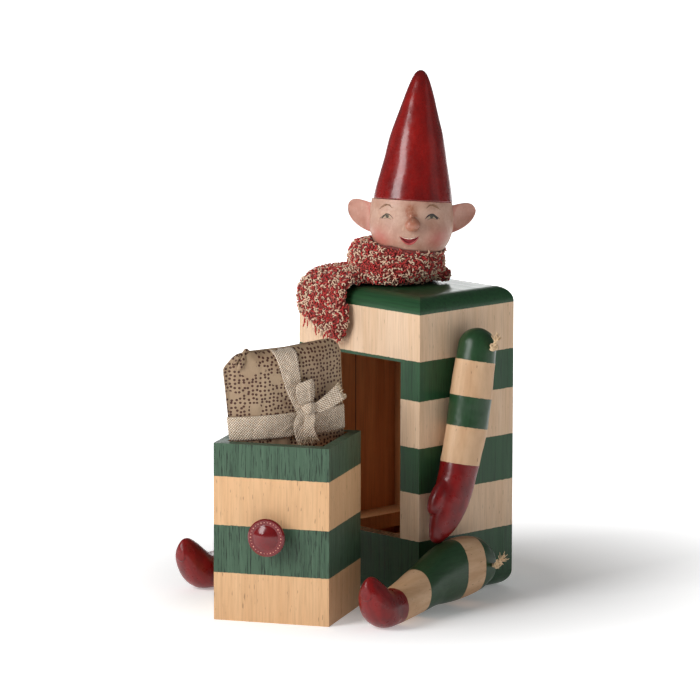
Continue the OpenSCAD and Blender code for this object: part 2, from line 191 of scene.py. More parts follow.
class Paint:
    """A material whose nodes are added one at a time."""

    def __init__(self, name):
        self.material = bpy.data.materials.new(name)
        self.material.use_nodes = True
        self.tree = self.material.node_tree
        self.shader = self.tree.nodes["Principled BSDF"]

    def node(self, kind, inputs=None, **settings):
        """A shader node, with its inputs set or linked."""
        made = self.tree.nodes.new("ShaderNode" + kind)
        for key, value in settings.items():
            setattr(made, key, value)
        for key, value in (inputs or {}).items():
            if isinstance(value, bpy.types.NodeSocket):
                self.tree.links.new(value, made.inputs[key])
            else:
                made.inputs[key].default_value = value
        return made

    def math(self, operation, a, b=0.0, c=0.0, clamp=False):
        made = self.node("Math", {0: a, 1: b, 2: c}, operation=operation, use_clamp=clamp)
        return made.outputs[0]

    def noise(self, vector, scale, detail=3.0, rough=0.5):
        return self.node("TexNoise", {"Vector": vector, "Scale": scale, "Detail": detail,
                                      "Roughness": rough}).outputs["Fac"]

    def mix(self, share, a, b, blend="MIX"):
        made = self.node("Mix", {0: share, 6: a, 7: b}, data_type="RGBA", blend_type=blend)
        return made.outputs[2]

    def step(self, value, low, high, out_low=0.0, out_high=1.0):
        """A value from low to high taken to a range of its own, and held at its ends."""
        return self.node("MapRange", {"Value": value, "From Min": low, "From Max": high,
                                      "To Min": out_low, "To Max": out_high}, clamp=True).outputs[0]

    def place(self, turn=0.0, origin=(0, 0, 0), scale=(1, 1, 1)):
        """Coordinates in a piece's own frame: moved to origin and turned back about Z."""
        coords = self.node("TexCoord").outputs["Object"]
        moved = self.node("VectorMath", {0: coords, 1: tuple(-v for v in origin)}, operation="ADD")
        turned = self.node("Mapping", {"Vector": moved.outputs[0], "Rotation": (0, 0, -turn)},
                           vector_type="POINT").outputs[0]
        return self.node("Mapping", {"Vector": turned, "Scale": scale}, vector_type="POINT").outputs[0]

    def note(self, name):
        """What set_note kept on the mesh."""
        return self.node("Attribute", attribute_name=name).outputs["Fac"]

    def add(self, a, a_share, b, b_share):
        """Two numbers added in shares."""
        return self.math("ADD", self.math("MULTIPLY", a, a_share), self.math("MULTIPLY", b, b_share))

    def wobble(self, vector, scale, size):
        """A small random shift, as wide as size."""
        return self.math("MULTIPLY", self.math("SUBTRACT", self.noise(vector, scale, 2), 0.5), size)

    def between(self, share, a, b):
        """A number between two, where mix gives a colour."""
        return self.node("Mix", {0: share, 2: a, 3: b}).outputs[0]

    def scaled(self, vector, scale):
        """Coordinates stretched by a factor for each axis."""
        return self.node("Mapping", {"Vector": vector, "Scale": scale}).outputs[0]

    def z_of(self, vector):
        return self.node("SeparateXYZ", {0: vector}).outputs[2]

    def bump(self, height, strength, distance, normal=None):
        inputs = {"Height": height, "Strength": strength, "Distance": distance}
        if normal is not None:
            inputs["Normal"] = normal
        return self.node("Bump", inputs).outputs[0]

    def finish(self, color, rough=0.5, normal=None, **constants):
        """Fills in the shader, and gives back the material."""
        for key, value in (("Base Color", color), ("Roughness", rough), ("Normal", normal)):
            if isinstance(value, bpy.types.NodeSocket):
                self.tree.links.new(value, self.shader.inputs[key])
            elif value is not None:
                self.shader.inputs[key].default_value = value
        for key, value in constants.items():
            self.shader.inputs[key.replace("_", " ")].default_value = value
        return self.material


def rgb(red, green, blue):
    """A colour given as it looks on screen, from 0 to 255, as the linear numbers that shaders use."""
    def linear(v):
        v /= 255
        return v / 12.92 if v <= 0.04045 else ((v + 0.055) / 1.055) ** 2.4
    return (linear(red), linear(green), linear(blue), 1.0)


def darker(color, share):
    """A colour with each of its three parts multiplied by share."""
    return tuple(c * share for c in color[:3]) + (1,)


# Half the width over which a painted edge fades, in metres
EDGE_FADE = 0.00012


def paint_mask(paint, height, edges, wobble):
    """1 where a height lies in a painted band. edges are the heights where paint starts and stops in turn."""
    total = None
    for low, high in zip(edges[::2], edges[1::2]):
        over = paint.step(paint.math("ADD", height, wobble), low - EDGE_FADE, low + EDGE_FADE)
        under = paint.step(paint.math("ADD", height, wobble), high - EDGE_FADE, high + EDGE_FADE, 1.0, 0.0)
        band = paint.math("MULTIPLY", over, under)
        total = band if total is None else paint.math("MAXIMUM", total, band)
    return total


def inside_box(p, place, low, high):
    """1 inside a box, given by two corners in metres in the piece's own frame."""
    parts = p.node("SeparateXYZ", {0: place})
    total = None
    for axis in range(3):
        over = p.math("GREATER_THAN", parts.outputs[axis], low[axis])
        under = p.math("LESS_THAN", parts.outputs[axis], high[axis])
        both = p.math("MULTIPLY", over, under)
        total = both if total is None else p.math("MULTIPLY", total, both)
    return total


def wood(name, light, dark, edges=(), paints=None, turn=0.0, origin=(0, 0, 0), grain=2, hollow=None,
         wear=0.25, gloss=0.42, pore=620, seam=None):
    """Sanded beech, with painted bands where edges says. grain is the axis that the fibres run along.

    hollow is the box inside which the wood is bare and darker, and seam the Y of a glue line in it."""
    p = Paint(name)
    place = p.place(turn, origin)
    stretch = [1.0, 1.0, 1.0]
    stretch[grain] = 0.045
    along = p.scaled(place, tuple(stretch))
    broad = p.noise(along, 130, 3, 0.55)
    fibre = p.noise(along, 900, 4, 0.6)
    fine = p.noise(along, 3200, 2, 0.6)
    short = [1.0, 1.0, 1.0]
    short[grain] = 0.16
    dashes = p.step(p.noise(p.scaled(place, tuple(short)), 950, 1, 0.4), 0.70, 0.76)
    natural = p.mix(p.step(broad, 0.34, 0.68, 0.0, 0.55), light, dark)
    natural = p.mix(p.step(fibre, 0.42, 0.8, 0.0, 0.42), natural, darker(dark, 0.55))
    natural = p.mix(p.math("MULTIPLY", dashes, 0.55), natural, darker(dark, 0.32))
    relief = p.add(fibre, 0.7, fine, 0.3)
    relief = p.math("SUBTRACT", relief, p.math("MULTIPLY", dashes, 0.55))
    rough = p.step(fibre, 0.3, 0.8, 0.52, 0.68)
    color = natural
    if paints:
        where = p.z_of(place)
        wobble = p.wobble(place, 500, 0.0007)
        mask = paint_mask(p, where, edges, wobble)
        green, pale = paints
        coat = p.mix(p.step(p.noise(along, 420, 4, 0.65), 0.38, 0.72), green, pale)
        pores = p.step(p.noise(along, pore, 3, 0.62), 0.55, 0.62)
        coat = p.mix(p.math("MULTIPLY", pores, wear), coat, darker(green, 0.18))
        if hollow:
            bare = inside_box(p, place, *hollow)
            inner = p.mix(p.step(broad, 0.34, 0.68), INNER, INNER_DARK)
            inner = p.mix(p.step(fibre, 0.45, 0.85, 0.0, 0.4), inner, rgb(84, 48, 26))
            if seam is not None:
                y = p.node("SeparateXYZ", {0: place}).outputs[1]
                near = p.math("ABSOLUTE", p.math("SUBTRACT", y, seam))
                inner = p.mix(p.step(near, 0.0006, 0.0002), inner, rgb(60, 34, 20))
            natural = p.mix(bare, natural, inner)
            mask = p.math("MULTIPLY", mask, p.math("SUBTRACT", 1.0, bare))
        color = p.mix(mask, natural, coat)
        rough = p.between(mask, rough, p.step(broad, 0.3, 0.7, gloss - 0.06, gloss + 0.08))
    return p.finish(color, rough, p.bump(relief, 0.35, 0.00022), Specular_IOR_Level=0.36)


def lacquer(name, deep, bright, rough=0.22, streak=(1, 1, 0.14), brush=0.3, scale=130):
    """Glossy paint over wood, with brush marks, fine scuffs and darker patches."""
    p = Paint(name)
    place = p.place()
    lines = p.noise(p.scaled(place, streak), scale, 2, 0.5)
    patch = p.noise(place, 50, 2, 0.5)
    scuff = p.noise(place, 330, 3, 0.55)
    color = p.mix(p.step(lines, 0.3, 0.7), deep, bright)
    color = p.mix(p.step(patch, 0.4, 0.75, 0.0, 0.3), color, darker(deep, 0.6))
    relief = p.add(lines, 0.8, scuff, 0.2)
    normal = p.bump(relief, brush, 0.0012)
    return p.finish(color, p.step(scuff, 0.35, 0.75, rough, rough + 0.14), normal,
                    Coat_Weight=0.36, Coat_Roughness=0.13, Specular_IOR_Level=0.34)


def plain(name, color, rough=0.6, variety=0.12, scale=300, bump=0.2, **constants):
    """A matt surface with a little variety in its colour and relief."""
    p = Paint(name)
    place = p.place()
    spots = p.noise(place, scale, 4, 0.6)
    fine = p.noise(place, scale * 6, 3, 0.6)
    dark = darker(color, 1 - variety)
    pale = tuple(min(1, c * (1 + variety)) for c in color[:3]) + (1,)
    return p.finish(p.mix(p.step(spots, 0.35, 0.65), dark, pale), rough,
                    p.bump(p.math("ADD", spots, p.math("MULTIPLY", fine, 0.4)), bump, 0.0003), **constants)


# ---------------------------------------------------------------- sizes from the frame

box_low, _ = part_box("base_plate")
drawer_pull = Vector(joints["drawer_pull"]["axis"])
drawer_turn = math.atan2(drawer_pull.x, -drawer_pull.y)
drawer_box = [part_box(n) for n in ("drawer_front", "drawer_left", "drawer_right", "drawer_back")]
drawer_origin = Vector((
    (min(b[0][0] for b in drawer_box) + max(b[1][0] for b in drawer_box)) / 2,
    (min(b[0][1] for b in drawer_box) + max(b[1][1] for b in drawer_box)) / 2,
    0.0))
neck = Vector(joints["head_turn"]["pos_m"])
ears = [Vector(np.mean(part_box(n), axis=0)) for n in ("left_ear", "right_ear")]
head_turn = math.atan2(ears[1].y - ears[0].y, ears[1].x - ears[0].x)


def drawer_place(points):
    """Points in millimetres, in the drawer's own frame, as metres in the row frame."""
    turn = Matrix.Rotation(drawer_turn, 3, "Z")
    return [turn @ (Vector(p) * MM) + drawer_origin for p in points]


def head_place(points):
    """Points in millimetres about the neck's axis, with the face towards -Y, as metres in the row frame."""
    turn = Matrix.Rotation(head_turn, 3, "Z")
    at = Vector((neck.x, neck.y, 0))
    return [turn @ (Vector(p) * MM) + at for p in points]


# ---------------------------------------------------------------- materials

GREEN = rgb(30, 68, 40)
GREEN_PALE = rgb(38, 80, 46)
# The drawer's greens are lighter than the box's: partly worn paint, partly a painted sheen
DRAWER_GREEN = rgb(54, 80, 60)
DRAWER_GREEN_PALE = rgb(72, 100, 78)
LIMB_GREEN = rgb(30, 60, 34)
LIMB_GREEN_PALE = rgb(38, 72, 42)
LIMB_RED = rgb(100, 11, 13)
LIMB_RED_PALE = rgb(140, 22, 21)
BEECH = rgb(224, 194, 164)
BEECH_DARK = rgb(210, 172, 134)
DRAWER_BEECH = rgb(218, 176, 132)
DRAWER_BEECH_DARK = rgb(200, 152, 106)
INNER = rgb(202, 140, 90)
INNER_DARK = rgb(176, 112, 66)

# Heights at which painted bands start and stop in turn
BOX_BANDS = [z * MM for z in (-1, 40.3, 71.6, 101.7, 132.6, 158.7, 189.5, 201)]
DRAWER_BANDS = [z * MM for z in (31.15, 62.1, 93.6, 116)]


def hollow_between(left, right, front, back, under, over):
    """The bare inside between six boards, a hair larger than it is."""
    return ((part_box(left)[1][0] - 0.0001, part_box(front)[1][1] - 0.0001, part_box(under)[1][2] - 0.0001),
            (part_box(right)[0][0] + 0.0001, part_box(back)[0][1] + 0.0001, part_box(over)[0][2] + 0.0001))


BOX_HOLLOW = hollow_between("left_side", "right_side", "front_panel", "back_panel", "base_plate", "top_plate")
box_wood = wood("beech_box", BEECH, BEECH_DARK, BOX_BANDS, (GREEN, GREEN_PALE), hollow=BOX_HOLLOW, wear=0.45,
                pore=800, seam=-0.002)
plate_paint = wood("green_plate", BEECH, BEECH_DARK, (-1.0, 1.0), (GREEN, GREEN_PALE), grain=0,
                   hollow=BOX_HOLLOW, wear=0.35, gloss=0.34)
inner_wood = wood("inner_wood", rgb(196, 146, 100), rgb(168, 118, 76))
dowel_wood = wood("dowel_wood", BEECH, BEECH_DARK)
# The drawer's own bare inside, in its own frame, reaching a little past its inner faces so that the rim's
# inner edge is darker too, as painted shade
DRAWER_HOLLOW_AND_RIM_SHADE = ((-0.0321, -0.0272, 0.0059), (0.0321, 0.0287, 0.1151))
drawer_wood = wood("beech_drawer", DRAWER_BEECH, DRAWER_BEECH_DARK, DRAWER_BANDS,
                   (DRAWER_GREEN, DRAWER_GREEN_PALE), turn=drawer_turn, origin=tuple(drawer_origin),
                   hollow=DRAWER_HOLLOW_AND_RIM_SHADE, wear=0.9, gloss=0.5, pore=1500)
red_hat = lacquer("red_hat", rgb(104, 9, 8), rgb(142, 17, 12))
red_knob = lacquer("red_knob", rgb(104, 14, 18), rgb(116, 18, 22), rough=0.12, streak=(1, 1, 1), brush=0.08,
                   scale=160)
steel = plain("screw_steel", (0.6, 0.6, 0.62, 1), 0.32, 0.05, 900, 0.1, Metallic=1.0)


def limb_wood(name, edges, seed):
    """Beech with painted bands that follow the limb, and a glossy red mitten or boot past the last edge."""
    p = Paint(name)
    along = p.note("along")
    place = p.place(0.0, (seed, seed, 0))
    stretched = p.scaled(place, (1, 0.3, 0.12) if "arm" in name else (1, 0.1, 1))
    fibre = p.noise(stretched, 900, 4, 0.6)
    broad = p.noise(stretched, 160, 3, 0.5)
    dashes = p.step(p.noise(p.scaled(place, (1, 0.45, 0.22) if "arm" in name else (1, 0.2, 1)), 1000, 1, 0.4),
                    0.71, 0.76)
    natural = p.mix(p.step(broad, 0.35, 0.65), rgb(214, 178, 142), rgb(196, 156, 118))
    natural = p.mix(p.step(fibre, 0.45, 0.85, 0.0, 0.25), natural, rgb(150, 112, 76))
    natural = p.mix(p.math("MULTIPLY", dashes, 0.6), natural, rgb(110, 78, 48))
    wobble = p.wobble(place, 420, 0.0008)
    greens = paint_mask(p, along, edges[:-1], wobble)
    reds = p.step(p.math("ADD", along, wobble), edges[-1] - 0.0001, edges[-1] + 0.0001)
    green = p.mix(p.step(fibre, 0.35, 0.7), LIMB_GREEN, LIMB_GREEN_PALE)
    strokes = p.noise(p.scaled(place, (1, 0.6, 0.4)), 170, 3, 0.55)
    red = p.mix(p.step(strokes, 0.35, 0.72, 0.0, 0.8), LIMB_RED, LIMB_RED_PALE)
    color = p.mix(reds, p.mix(greens, natural, green), red)
    gloss = p.step(p.noise(place, 240, 3), 0.35, 0.7, 0.26, 0.4)
    rough = p.between(reds, p.between(greens, 0.58, 0.34), gloss)
    relief = p.math("ADD", p.math("MULTIPLY", fibre, 0.35), p.noise(place, 260, 3, 0.55))
    return p.finish(color, rough, p.bump(relief, 0.22, 0.0005), Specular_IOR_Level=0.38)


# ---------------------------------------------------------------- carved limbs

# Distances along a limb at which its green starts and stops in turn, and last its red starts
ARM_BANDS = [s * MM for s in (-30, 9.2, 32.6, 52.4, 76.6)]
LEG_BANDS = [s * MM for s in (-30, 9.5, 29.1, 70.3, 98)]
# Points in one ring of a limb's skin
AROUND = 72


def carve(point, depth=0.35, size=0.011):
    """How far a hand-carved surface stands out from the true one there, in millimetres."""
    return depth * lumps(point, size) + 0.12 * lumps(point, size / 3, 7.0)


def fuse(verts, faces, voxel, smoothing):
    """One closed skin round overlapping closed parts."""
    mesh = bpy.data.meshes.new("fuse")
    mesh.from_pydata([tuple(v) for v in verts], [], faces)
    work = bpy.data.objects.new("fuse", mesh)
    scene.collection.objects.link(work)
    remesh = work.modifiers.new("remesh", "REMESH")
    remesh.mode = "VOXEL"
    remesh.voxel_size = voxel
    smooth = work.modifiers.new("smooth", "SMOOTH")
    smooth.iterations = smoothing
    smooth.factor = 0.5
    made = bpy.data.meshes.new_from_object(work.evaluated_get(bpy.context.evaluated_depsgraph_get()))
    out = np.array([v.co for v in made.vertices]), [tuple(f.vertices) for f in made.polygons]
    bpy.data.objects.remove(work)
    bpy.data.meshes.remove(made)
    bpy.data.meshes.remove(mesh)
    return out


# Down the arm from the cord, in millimetres: forward, height, half width across, half width fore and aft
ARM_LINE = [(0.0, 0, 12.6, 12.4), (3.0, -16, 13.3, 13.4), (5.6, -32, 13.5, 13.9),
            (9.2, -52, 13.2, 13.8), (13.4, -68, 12.7, 13.2), (16.8, -80, 12.3, 12.8),
            (20.6, -91, 11.9, 12.8), (24.8, -101, 11.0, 12.4), (29.8, -110.5, 9.4, 10.4),
            (33.8, -117, 7.2, 7.8), (36.4, -121, 4.8, 5.2)]
# How far the mitten's rounded tip reaches past the last station
TIP_LONG = 4.2
# Along the thumb: forward, height, radius
THUMB_LINE = [(25, -82, 3.4), (31.4, -89.5, 5.2), (36.4, -96, 5.3), (39.4, -101.5, 4.4), (40.2, -105.5, 2.4)]
# Degrees by which each arm is lifted forward
ARM_RAISE = {"left_arm": 6.0, "right_arm": 0.0}
# The slant along which an arm's painted bands are counted
ARM_SLANT = 0.2


def arm_rings():
    """The arm's skin in rings square to its own middle line, rounded at both ends."""
    line = smooth_line(ARM_LINE, 46)
    start, end = line[0], line[-1]
    rings = []
    cap = [(-math.cos(a), math.sin(a)) for a in np.linspace(0.12, math.pi / 2, 9)[:-1]]
    lean = math.atan2(line[1][0] - start[0], start[1] - line[1][1])
    stations = [(start[0] + c * start[3] * math.sin(lean), start[1] - c * start[3] * math.cos(lean),
                 start[2] * s, start[3] * s) for c, s in cap]
    stations += [tuple(row) for row in line]
    tip_lean = math.atan2(end[0] - line[-2][0], line[-2][1] - end[1])
    stations += [(end[0] - c * TIP_LONG * math.sin(tip_lean), end[1] + c * TIP_LONG * math.cos(tip_lean),
                  end[2] * s, end[3] * s) for c, s in reversed(cap)]
    centre = np.array([(f, h) for f, h, _, _ in stations])
    slope = np.gradient(centre, axis=0)
    for (f, h, wide, deep), (df, dh) in zip(stations, slope):
        size = math.hypot(df, dh)
        nf, nh = -dh / size, df / size
        rings.append([(wide * math.cos(a), -(f + deep * nf * math.sin(a)), h + deep * nh * math.sin(a))
                      for a in circle(AROUND)])
    return rings


def arm_piece(side, name):
    """A carved arm and its mitten's thumb. side is 1 for the right and -1 for the left, its mirror image."""
    joint = joints[name + "_swing"]
    pivot = np.array(joint["pos_m"])
    parts = [loft(arm_rings())]
    thumb = smooth_line(THUMB_LINE, 18)
    parts.append(tube([(0, -f, h) for f, h, _ in thumb], thumb[:, 2], 20, up=(1, 0, 0)))
    verts, faces = merge(parts)
    verts, faces = fuse(np.array(verts) * MM, faces, 0.0009, 6)
    verts = np.array([v + np.array((Vector(v) - Vector((0, -0.012, v[2]))).normalized()) * carve(v) * MM
                      for v in verts])
    along = verts @ np.array((0, -math.sin(ARM_SLANT), -math.cos(ARM_SLANT)))
    turn = math.radians(ARM_RAISE[name])
    c, s = math.cos(turn), math.sin(turn)
    verts = verts @ np.array([[side, 0, 0], [0, c, s], [0, -s, c]]).T
    faces = faces if side > 0 else [f[::-1] for f in faces]
    piece = add_piece(name + "_carved", verts + pivot, faces, joint["child"],
                      limb_wood(name + "_wood", ARM_BANDS, 0.3 + 0.1 * side), (name,))
    set_note(piece, "along", along)


# Along the leg from the cord, in millimetres: forward, top, bottom (above the floor), half width
LEG_LINE = [(-1, 37.4, 9.6, 12.4), (5, 41.6, 6.4, 13), (17, 43.7, 4.4, 13.4), (31, 43.4, 3.4, 13.4),
            (43, 40.9, 3.6, 13.2), (55, 36.5, 4.0, 12.9), (67, 31.7, 2.6, 12.5), (81, 27.2, 1.4, 12.1),
            (93, 24.2, 0.8, 12.0), (101, 23.2, 0.4, 12.0), (107, 23.9, 0.3, 12.2), (112, 27.0, 0.5, 12.4),
            (117, 31.4, 1.6, 12.0), (122, 34.8, 5.2, 10.5), (126, 35.8, 10.4, 8.7), (129, 35.0, 16.4, 6.6),
            (131, 33.0, 21.4, 4.4)]
# How far the leg's rounded end reaches back from the first station
LEG_BACK = 5.0
# Where along the leg its toe starts to narrow towards the top, and over what length
TOE_START, TOE_LONG = 105, 16
# How far the right leg bows outwards at stations along it, in millimetres
LEG_BOW = [(50, 0), (75, 1.8), (98, 4.8), (115, 6.6), (126, 7.2)]


def leg_piece(side, name):
    """A carved leg with an upturned toe, turned out as the leg in the frame is."""
    joint = joints[name + "_swing"]
    pivot = np.array(joint["pos_m"])
    axle = pivot[2] / MM
    line = smooth_line(LEG_LINE, 64)
    stations = []
    middle, half = (line[0][1] + line[0][2]) / 2, (line[0][1] - line[0][2]) / 2
    for a in np.linspace(0.1, math.pi / 2, 14)[:-1]:
        reach = math.sin(a)
        stations.append((line[0][0] - LEG_BACK * math.cos(a), middle + half * reach ** 0.8,
                         middle - half * reach ** 0.8, line[0][3] * reach ** 0.55))
    stations += [tuple(row) for row in line]
    end = line[-1]
    middle, half = (end[1] + end[2]) / 2, (end[1] - end[2]) / 2
    for a in np.linspace(0, math.pi / 2 - 0.12, 8)[1:]:
        stations.append((end[0] + 1.4 * math.sin(a), middle - 0.6 + half * math.cos(a),
                         middle - 0.6 - half * math.cos(a), end[3] * math.cos(a)))
    rings = []
    for s, top, bottom, wide in stations:
        centre, tall = (top + bottom) / 2 - axle, (top - bottom) / 2
        toe = min(1.0, max(0.0, (s - TOE_START) / TOE_LONG))
        bow = at_station(LEG_BOW, s) if side > 0 else 0.0
        ring = []
        for a in circle(AROUND):
            c, si = math.cos(a), math.sin(a)
            x = wide * bent(c, 0.88 + 0.2 * toe) * (1 - 0.42 * toe * si)
            z = centre + tall * bent(si, 0.92)
            ring.append((x + bow, -s, z))
        rings.append(ring)
    verts, faces = loft(rings)
    verts = np.array(verts)
    along = -verts[:, 1] * MM
    verts = np.array([v + np.array((v[0], 0, 0)) / 13 * carve(v * MM) for v in verts]) * MM
    turn = leg_splay(name, pivot)
    c, si = math.cos(turn), math.sin(turn)
    verts = verts @ np.array([[c, -si, 0], [si, c, 0], [0, 0, 1]]).T
    piece = add_piece(name + "_carved", verts + pivot, faces, joint["child"],
                      limb_wood(name + "_wood", LEG_BANDS, 0.7 + 0.1 * side), (name,))
    set_note(piece, "along", along)


def leg_splay(name, pivot):
    """How far the leg in the frame is turned about Z, from where its toe is."""
    points = np.array([v.co for v in nodes[name].data.vertices])
    toe = points[points[:, 1] < points[:, 1].min() + 0.004].mean(0)
    return math.atan2(toe[0] - pivot[0], pivot[1] - toe[1])


for side, name in ((-1, "left"), (1, "right")):
    arm_piece(side, name + "_arm")
    leg_piece(side, name + "_leg")


# ---------------------------------------------------------------- head

# The head's largest radius and its height, how far the head reaches above and below it, and its lowest point
HEAD_R = 27.6
WIDEST = 240.0
HEAD_UP, HEAD_DOWN = 47.7, 28.0
FACE_LOW = 200.35
# Angles from straight ahead, in degrees, and heights above the floor
EYES = (-34.0, 31.5)
EYE_Z = 245.8
EYE_HALF = 9.2
NOSE_X, NOSE_Z = 1.9, 242.3
MOUTH = (-0.8, 231.8)
MOUTH_HALF = 6.1
CHEEK_Z = 233.0

# Bumps on the face: height, angle, height above the floor, and half sizes across and up, in millimetres
FACE_BUMPS = []
for side, eye in zip((-1, 1), EYES):
    FACE_BUMPS += [(1.5, side * 40, CHEEK_Z, 9.5, 7),           # cheek
                   (-0.9, eye, EYE_Z, 5.5, 3.4),                # eye socket
                   (0.5, eye, EYE_Z + 5.6, 8, 2.6),             # brow
                   (-0.45, side * 19, 234.5, 2.4, 4)]           # fold beside the mouth
FACE_BUMPS += [(1.7, 0, 231.5, 9, 6),                           # round the mouth
               (1.5, 0, 222.5, 8, 4.5),                         # chin
               (-0.7, MOUTH[0], MOUTH[1] - 5.0, 6, 1.6),        # under the lip
               (1.0, 1.5, 247.5, 3.8, 6.0)]                     # bridge of the nose
# The same for where the skin is rosy and where it is worn, with a strength in place of the height
ROSY_PLACES = [(0.9, -47, CHEEK_Z - 2, 11, 8), (0.85, 45, CHEEK_Z - 2, 11, 8), (0.3, 0, 222, 9, 5),
               (0.22, 0, 258, 40, 3)]
WORN_PLACES = [(1.7, -0.5, 251.6, 3.4, 3.2), (1.5, 2.6, 247.6, 3.4, 2.8)]


def hump(angle, z, at_angle, at_z, wide, tall):
    """A smooth bump of height 1 over a place on the face, with its half sizes in millimetres."""
    across = (angle - at_angle) * math.pi / 180 * HEAD_R
    return math.exp(-(across / wide) ** 2 - ((z - at_z) / tall) ** 2)


def humps(start, places, angle, z):
    """A start value with the bumps of a table added one by one."""
    for height, *place in places:
        start += height * hump(angle, z, *place)
    return start


def smile(angle, z):
    """How far inside the open mouth a place on the face is, from 0 outside to 1 well inside."""
    across = (angle - MOUTH[0]) * math.pi / 180 * HEAD_R / MOUTH_HALF
    if abs(across) >= 1:
        return 0.0
    upper = MOUTH[1] + 0.9 + 1.5 * across * across
    lower = MOUTH[1] - 2.6 + 4.4 * across * across
    return min(1.0, max(0.0, min(upper - z, z - lower) / 0.5))


def face_r(angle, z):
    """The head's radius in millimetres for a turn from straight ahead and a height."""
    share = (z - WIDEST) / (HEAD_UP if z > WIDEST else HEAD_DOWN)
    ball = HEAD_R * math.sqrt(max(0.0, 1 - share * share))
    r = (ball ** 8 + 12.0 ** 8) ** 0.125 if z < WIDEST else ball
    return humps(r, FACE_BUMPS, angle, z) - 2.3 * smile(angle, z) ** 1.5


def face_point(angle, z, out=0.0):
    """A place on the face, or out millimetres in front of it."""
    a = math.radians(angle)
    r = face_r(angle, z) + out
    return (r * math.sin(a), -r * math.cos(a), z)


def painted_wood(name, base, shade, rough=0.5, blush=None, lips=None):
    """Hand-painted skin: uneven washes, fine speckles, rosy places and small worn spots."""
    p = Paint(name)
    place = p.place()
    wash = p.noise(place, 90, 4, 0.6)
    speck = p.noise(place, 700, 4, 0.65)
    brush = p.noise(p.scaled(place, (1, 1, 0.35)), 420, 3, 0.6)
    color = p.mix(p.step(wash, 0.3, 0.7), base, shade)
    color = p.mix(p.step(speck, 0.45, 0.8, 0.0, 0.28), color, darker(shade, 0.66))
    color = p.mix(p.step(brush, 0.56, 0.78, 0.0, 0.25), color, rgb(240, 214, 190))
    if blush:
        rosy = p.note("blush")
        uneven = p.math("MULTIPLY", rosy, p.step(p.noise(place, 160, 3, 0.6), 0.25, 0.75, 0.6, 1.0))
        color = p.mix(uneven, color, blush)
        worn = p.note("worn")
        color = p.mix(p.math("MULTIPLY", worn, p.step(speck, 0.3, 0.6, 0.45, 0.95)), color, rgb(148, 86, 58))
    if lips:
        mouth = p.note("mouth")
        color = p.mix(p.step(mouth, 0.25, 0.6), color, lips)
    relief = p.add(wash, 0.6, speck, 0.3)
    return p.finish(color, p.step(speck, 0.3, 0.7, rough - 0.08, rough + 0.1), p.bump(relief, 0.35, 0.0004),
                    Subsurface_Weight=0.06, Subsurface_Radius=(0.004, 0.002, 0.001), Specular_IOR_Level=0.45)


SKIN = rgb(194, 158, 138)
SKIN_SHADE = rgb(172, 130, 110)
ROSY = rgb(178, 88, 78)
skin = painted_wood("skin", SKIN, SKIN_SHADE, 0.46, ROSY, rgb(150, 44, 52))
ear_skin = painted_wood("ear_skin", rgb(204, 160, 142), rgb(184, 132, 114), 0.46, ROSY)
nose_skin = painted_wood("nose_skin", rgb(186, 132, 110), rgb(158, 98, 76), 0.3)
eye_ink = plain("eye_ink", rgb(44, 38, 34), 0.5, 0.3, 900)
eye_grey = plain("eye_grey", rgb(66, 58, 42), 0.5, 0.25, 700)
brow_ink = plain("brow_ink", rgb(128, 92, 62), 0.6, 0.3, 900)
eye_white = plain("eye_white", rgb(164, 150, 122), 0.4, 0.06, 700)
teeth = plain("teeth", rgb(238, 224, 204), 0.4, 0.06, 700)
lip = plain("lip", rgb(176, 72, 70), 0.42, 0.15, 600)


# The hat's own frame, about the neck's axis: its brim leans to one side and back
HAT_H = 86.0
HAT_BRIM = (Matrix.Translation((1.0, 0.0, 254.4)) @ Matrix.Rotation(math.radians(3), 4, "Y")
            @ Matrix.Rotation(math.radians(-7), 4, "X"))


def brim_height(x, y):
    """The height of the hat's brim plane over a place in the head's own frame, in millimetres."""
    at, up = HAT_BRIM.translation, HAT_BRIM.col[2]
    return at.z - (up.x * (x - at.x) + up.y * (y - at.y)) / up.z


def head_piece():
    """The whole head under the hat, with its rosy, worn and open places kept for the paint."""
    around = 300
    heights = [FACE_LOW] + list(np.linspace(FACE_LOW + 0.6, 214, 12)) + list(np.linspace(214.6, 260.4, 102))
    rings, blush, worn, mouth = [], [], [], []
    for z in heights:
        ring = []
        for k in range(around):
            angle = k * 360 / around - 180
            r = face_r(angle, z)
            if z == heights[0]:
                r -= 0.6
            a = math.radians(angle)
            x, y = r * math.sin(a), -r * math.cos(a)
            top = min(z, brim_height(x, y) - 0.05)
            ring.append((x, y, top))
            blush.append(min(1, humps(0.0, ROSY_PLACES, angle, z)))
            ragged = 1 + 0.55 * lumps((x * MM, y * MM, z * MM), 0.0022)
            worn.append(min(1, ragged * humps(0.0, WORN_PLACES, angle, z)))
            mouth.append(smile(angle, z))
        rings.append(ring)
    verts, faces = loft(rings)
    piece = add_piece("head_painted", head_place(verts), faces, "head_body", skin, ("head",))
    for note, values in (("blush", blush), ("worn", worn), ("mouth", mouth)):
        set_note(piece, note, values + [0, 0])


# How many steps a painted line is laid in, and half its thickness
STROKE_STEPS = 22
STROKE_DEEP = 0.16


def brush_line(points, widths, lift=0.12):
    """A painted line on the face: a thin flattened thread that follows the skin. points are (angle, z)."""
    line = smooth_line(points, STROKE_STEPS)
    widths = evenly(widths, STROKE_STEPS)
    path = [face_point(a, z, lift - 0.1) for a, z in line]
    rings = []
    for i, (a, z) in enumerate(line):
        before, after = np.array(path[max(0, i - 1)]), np.array(path[min(STROKE_STEPS - 1, i + 1)])
        t = unit(after - before)
        n = np.array((math.sin(math.radians(a)), -math.cos(math.radians(a)), 0.0))
        s = unit(np.cross(t, n))
        n = np.cross(s, t)
        rings.append([np.array(path[i]) + widths[i] / 2 * math.cos(k * math.pi / 4) * s
                      + STROKE_DEEP * math.sin(k * math.pi / 4) * n for k in range(8)])
    return loft(rings)


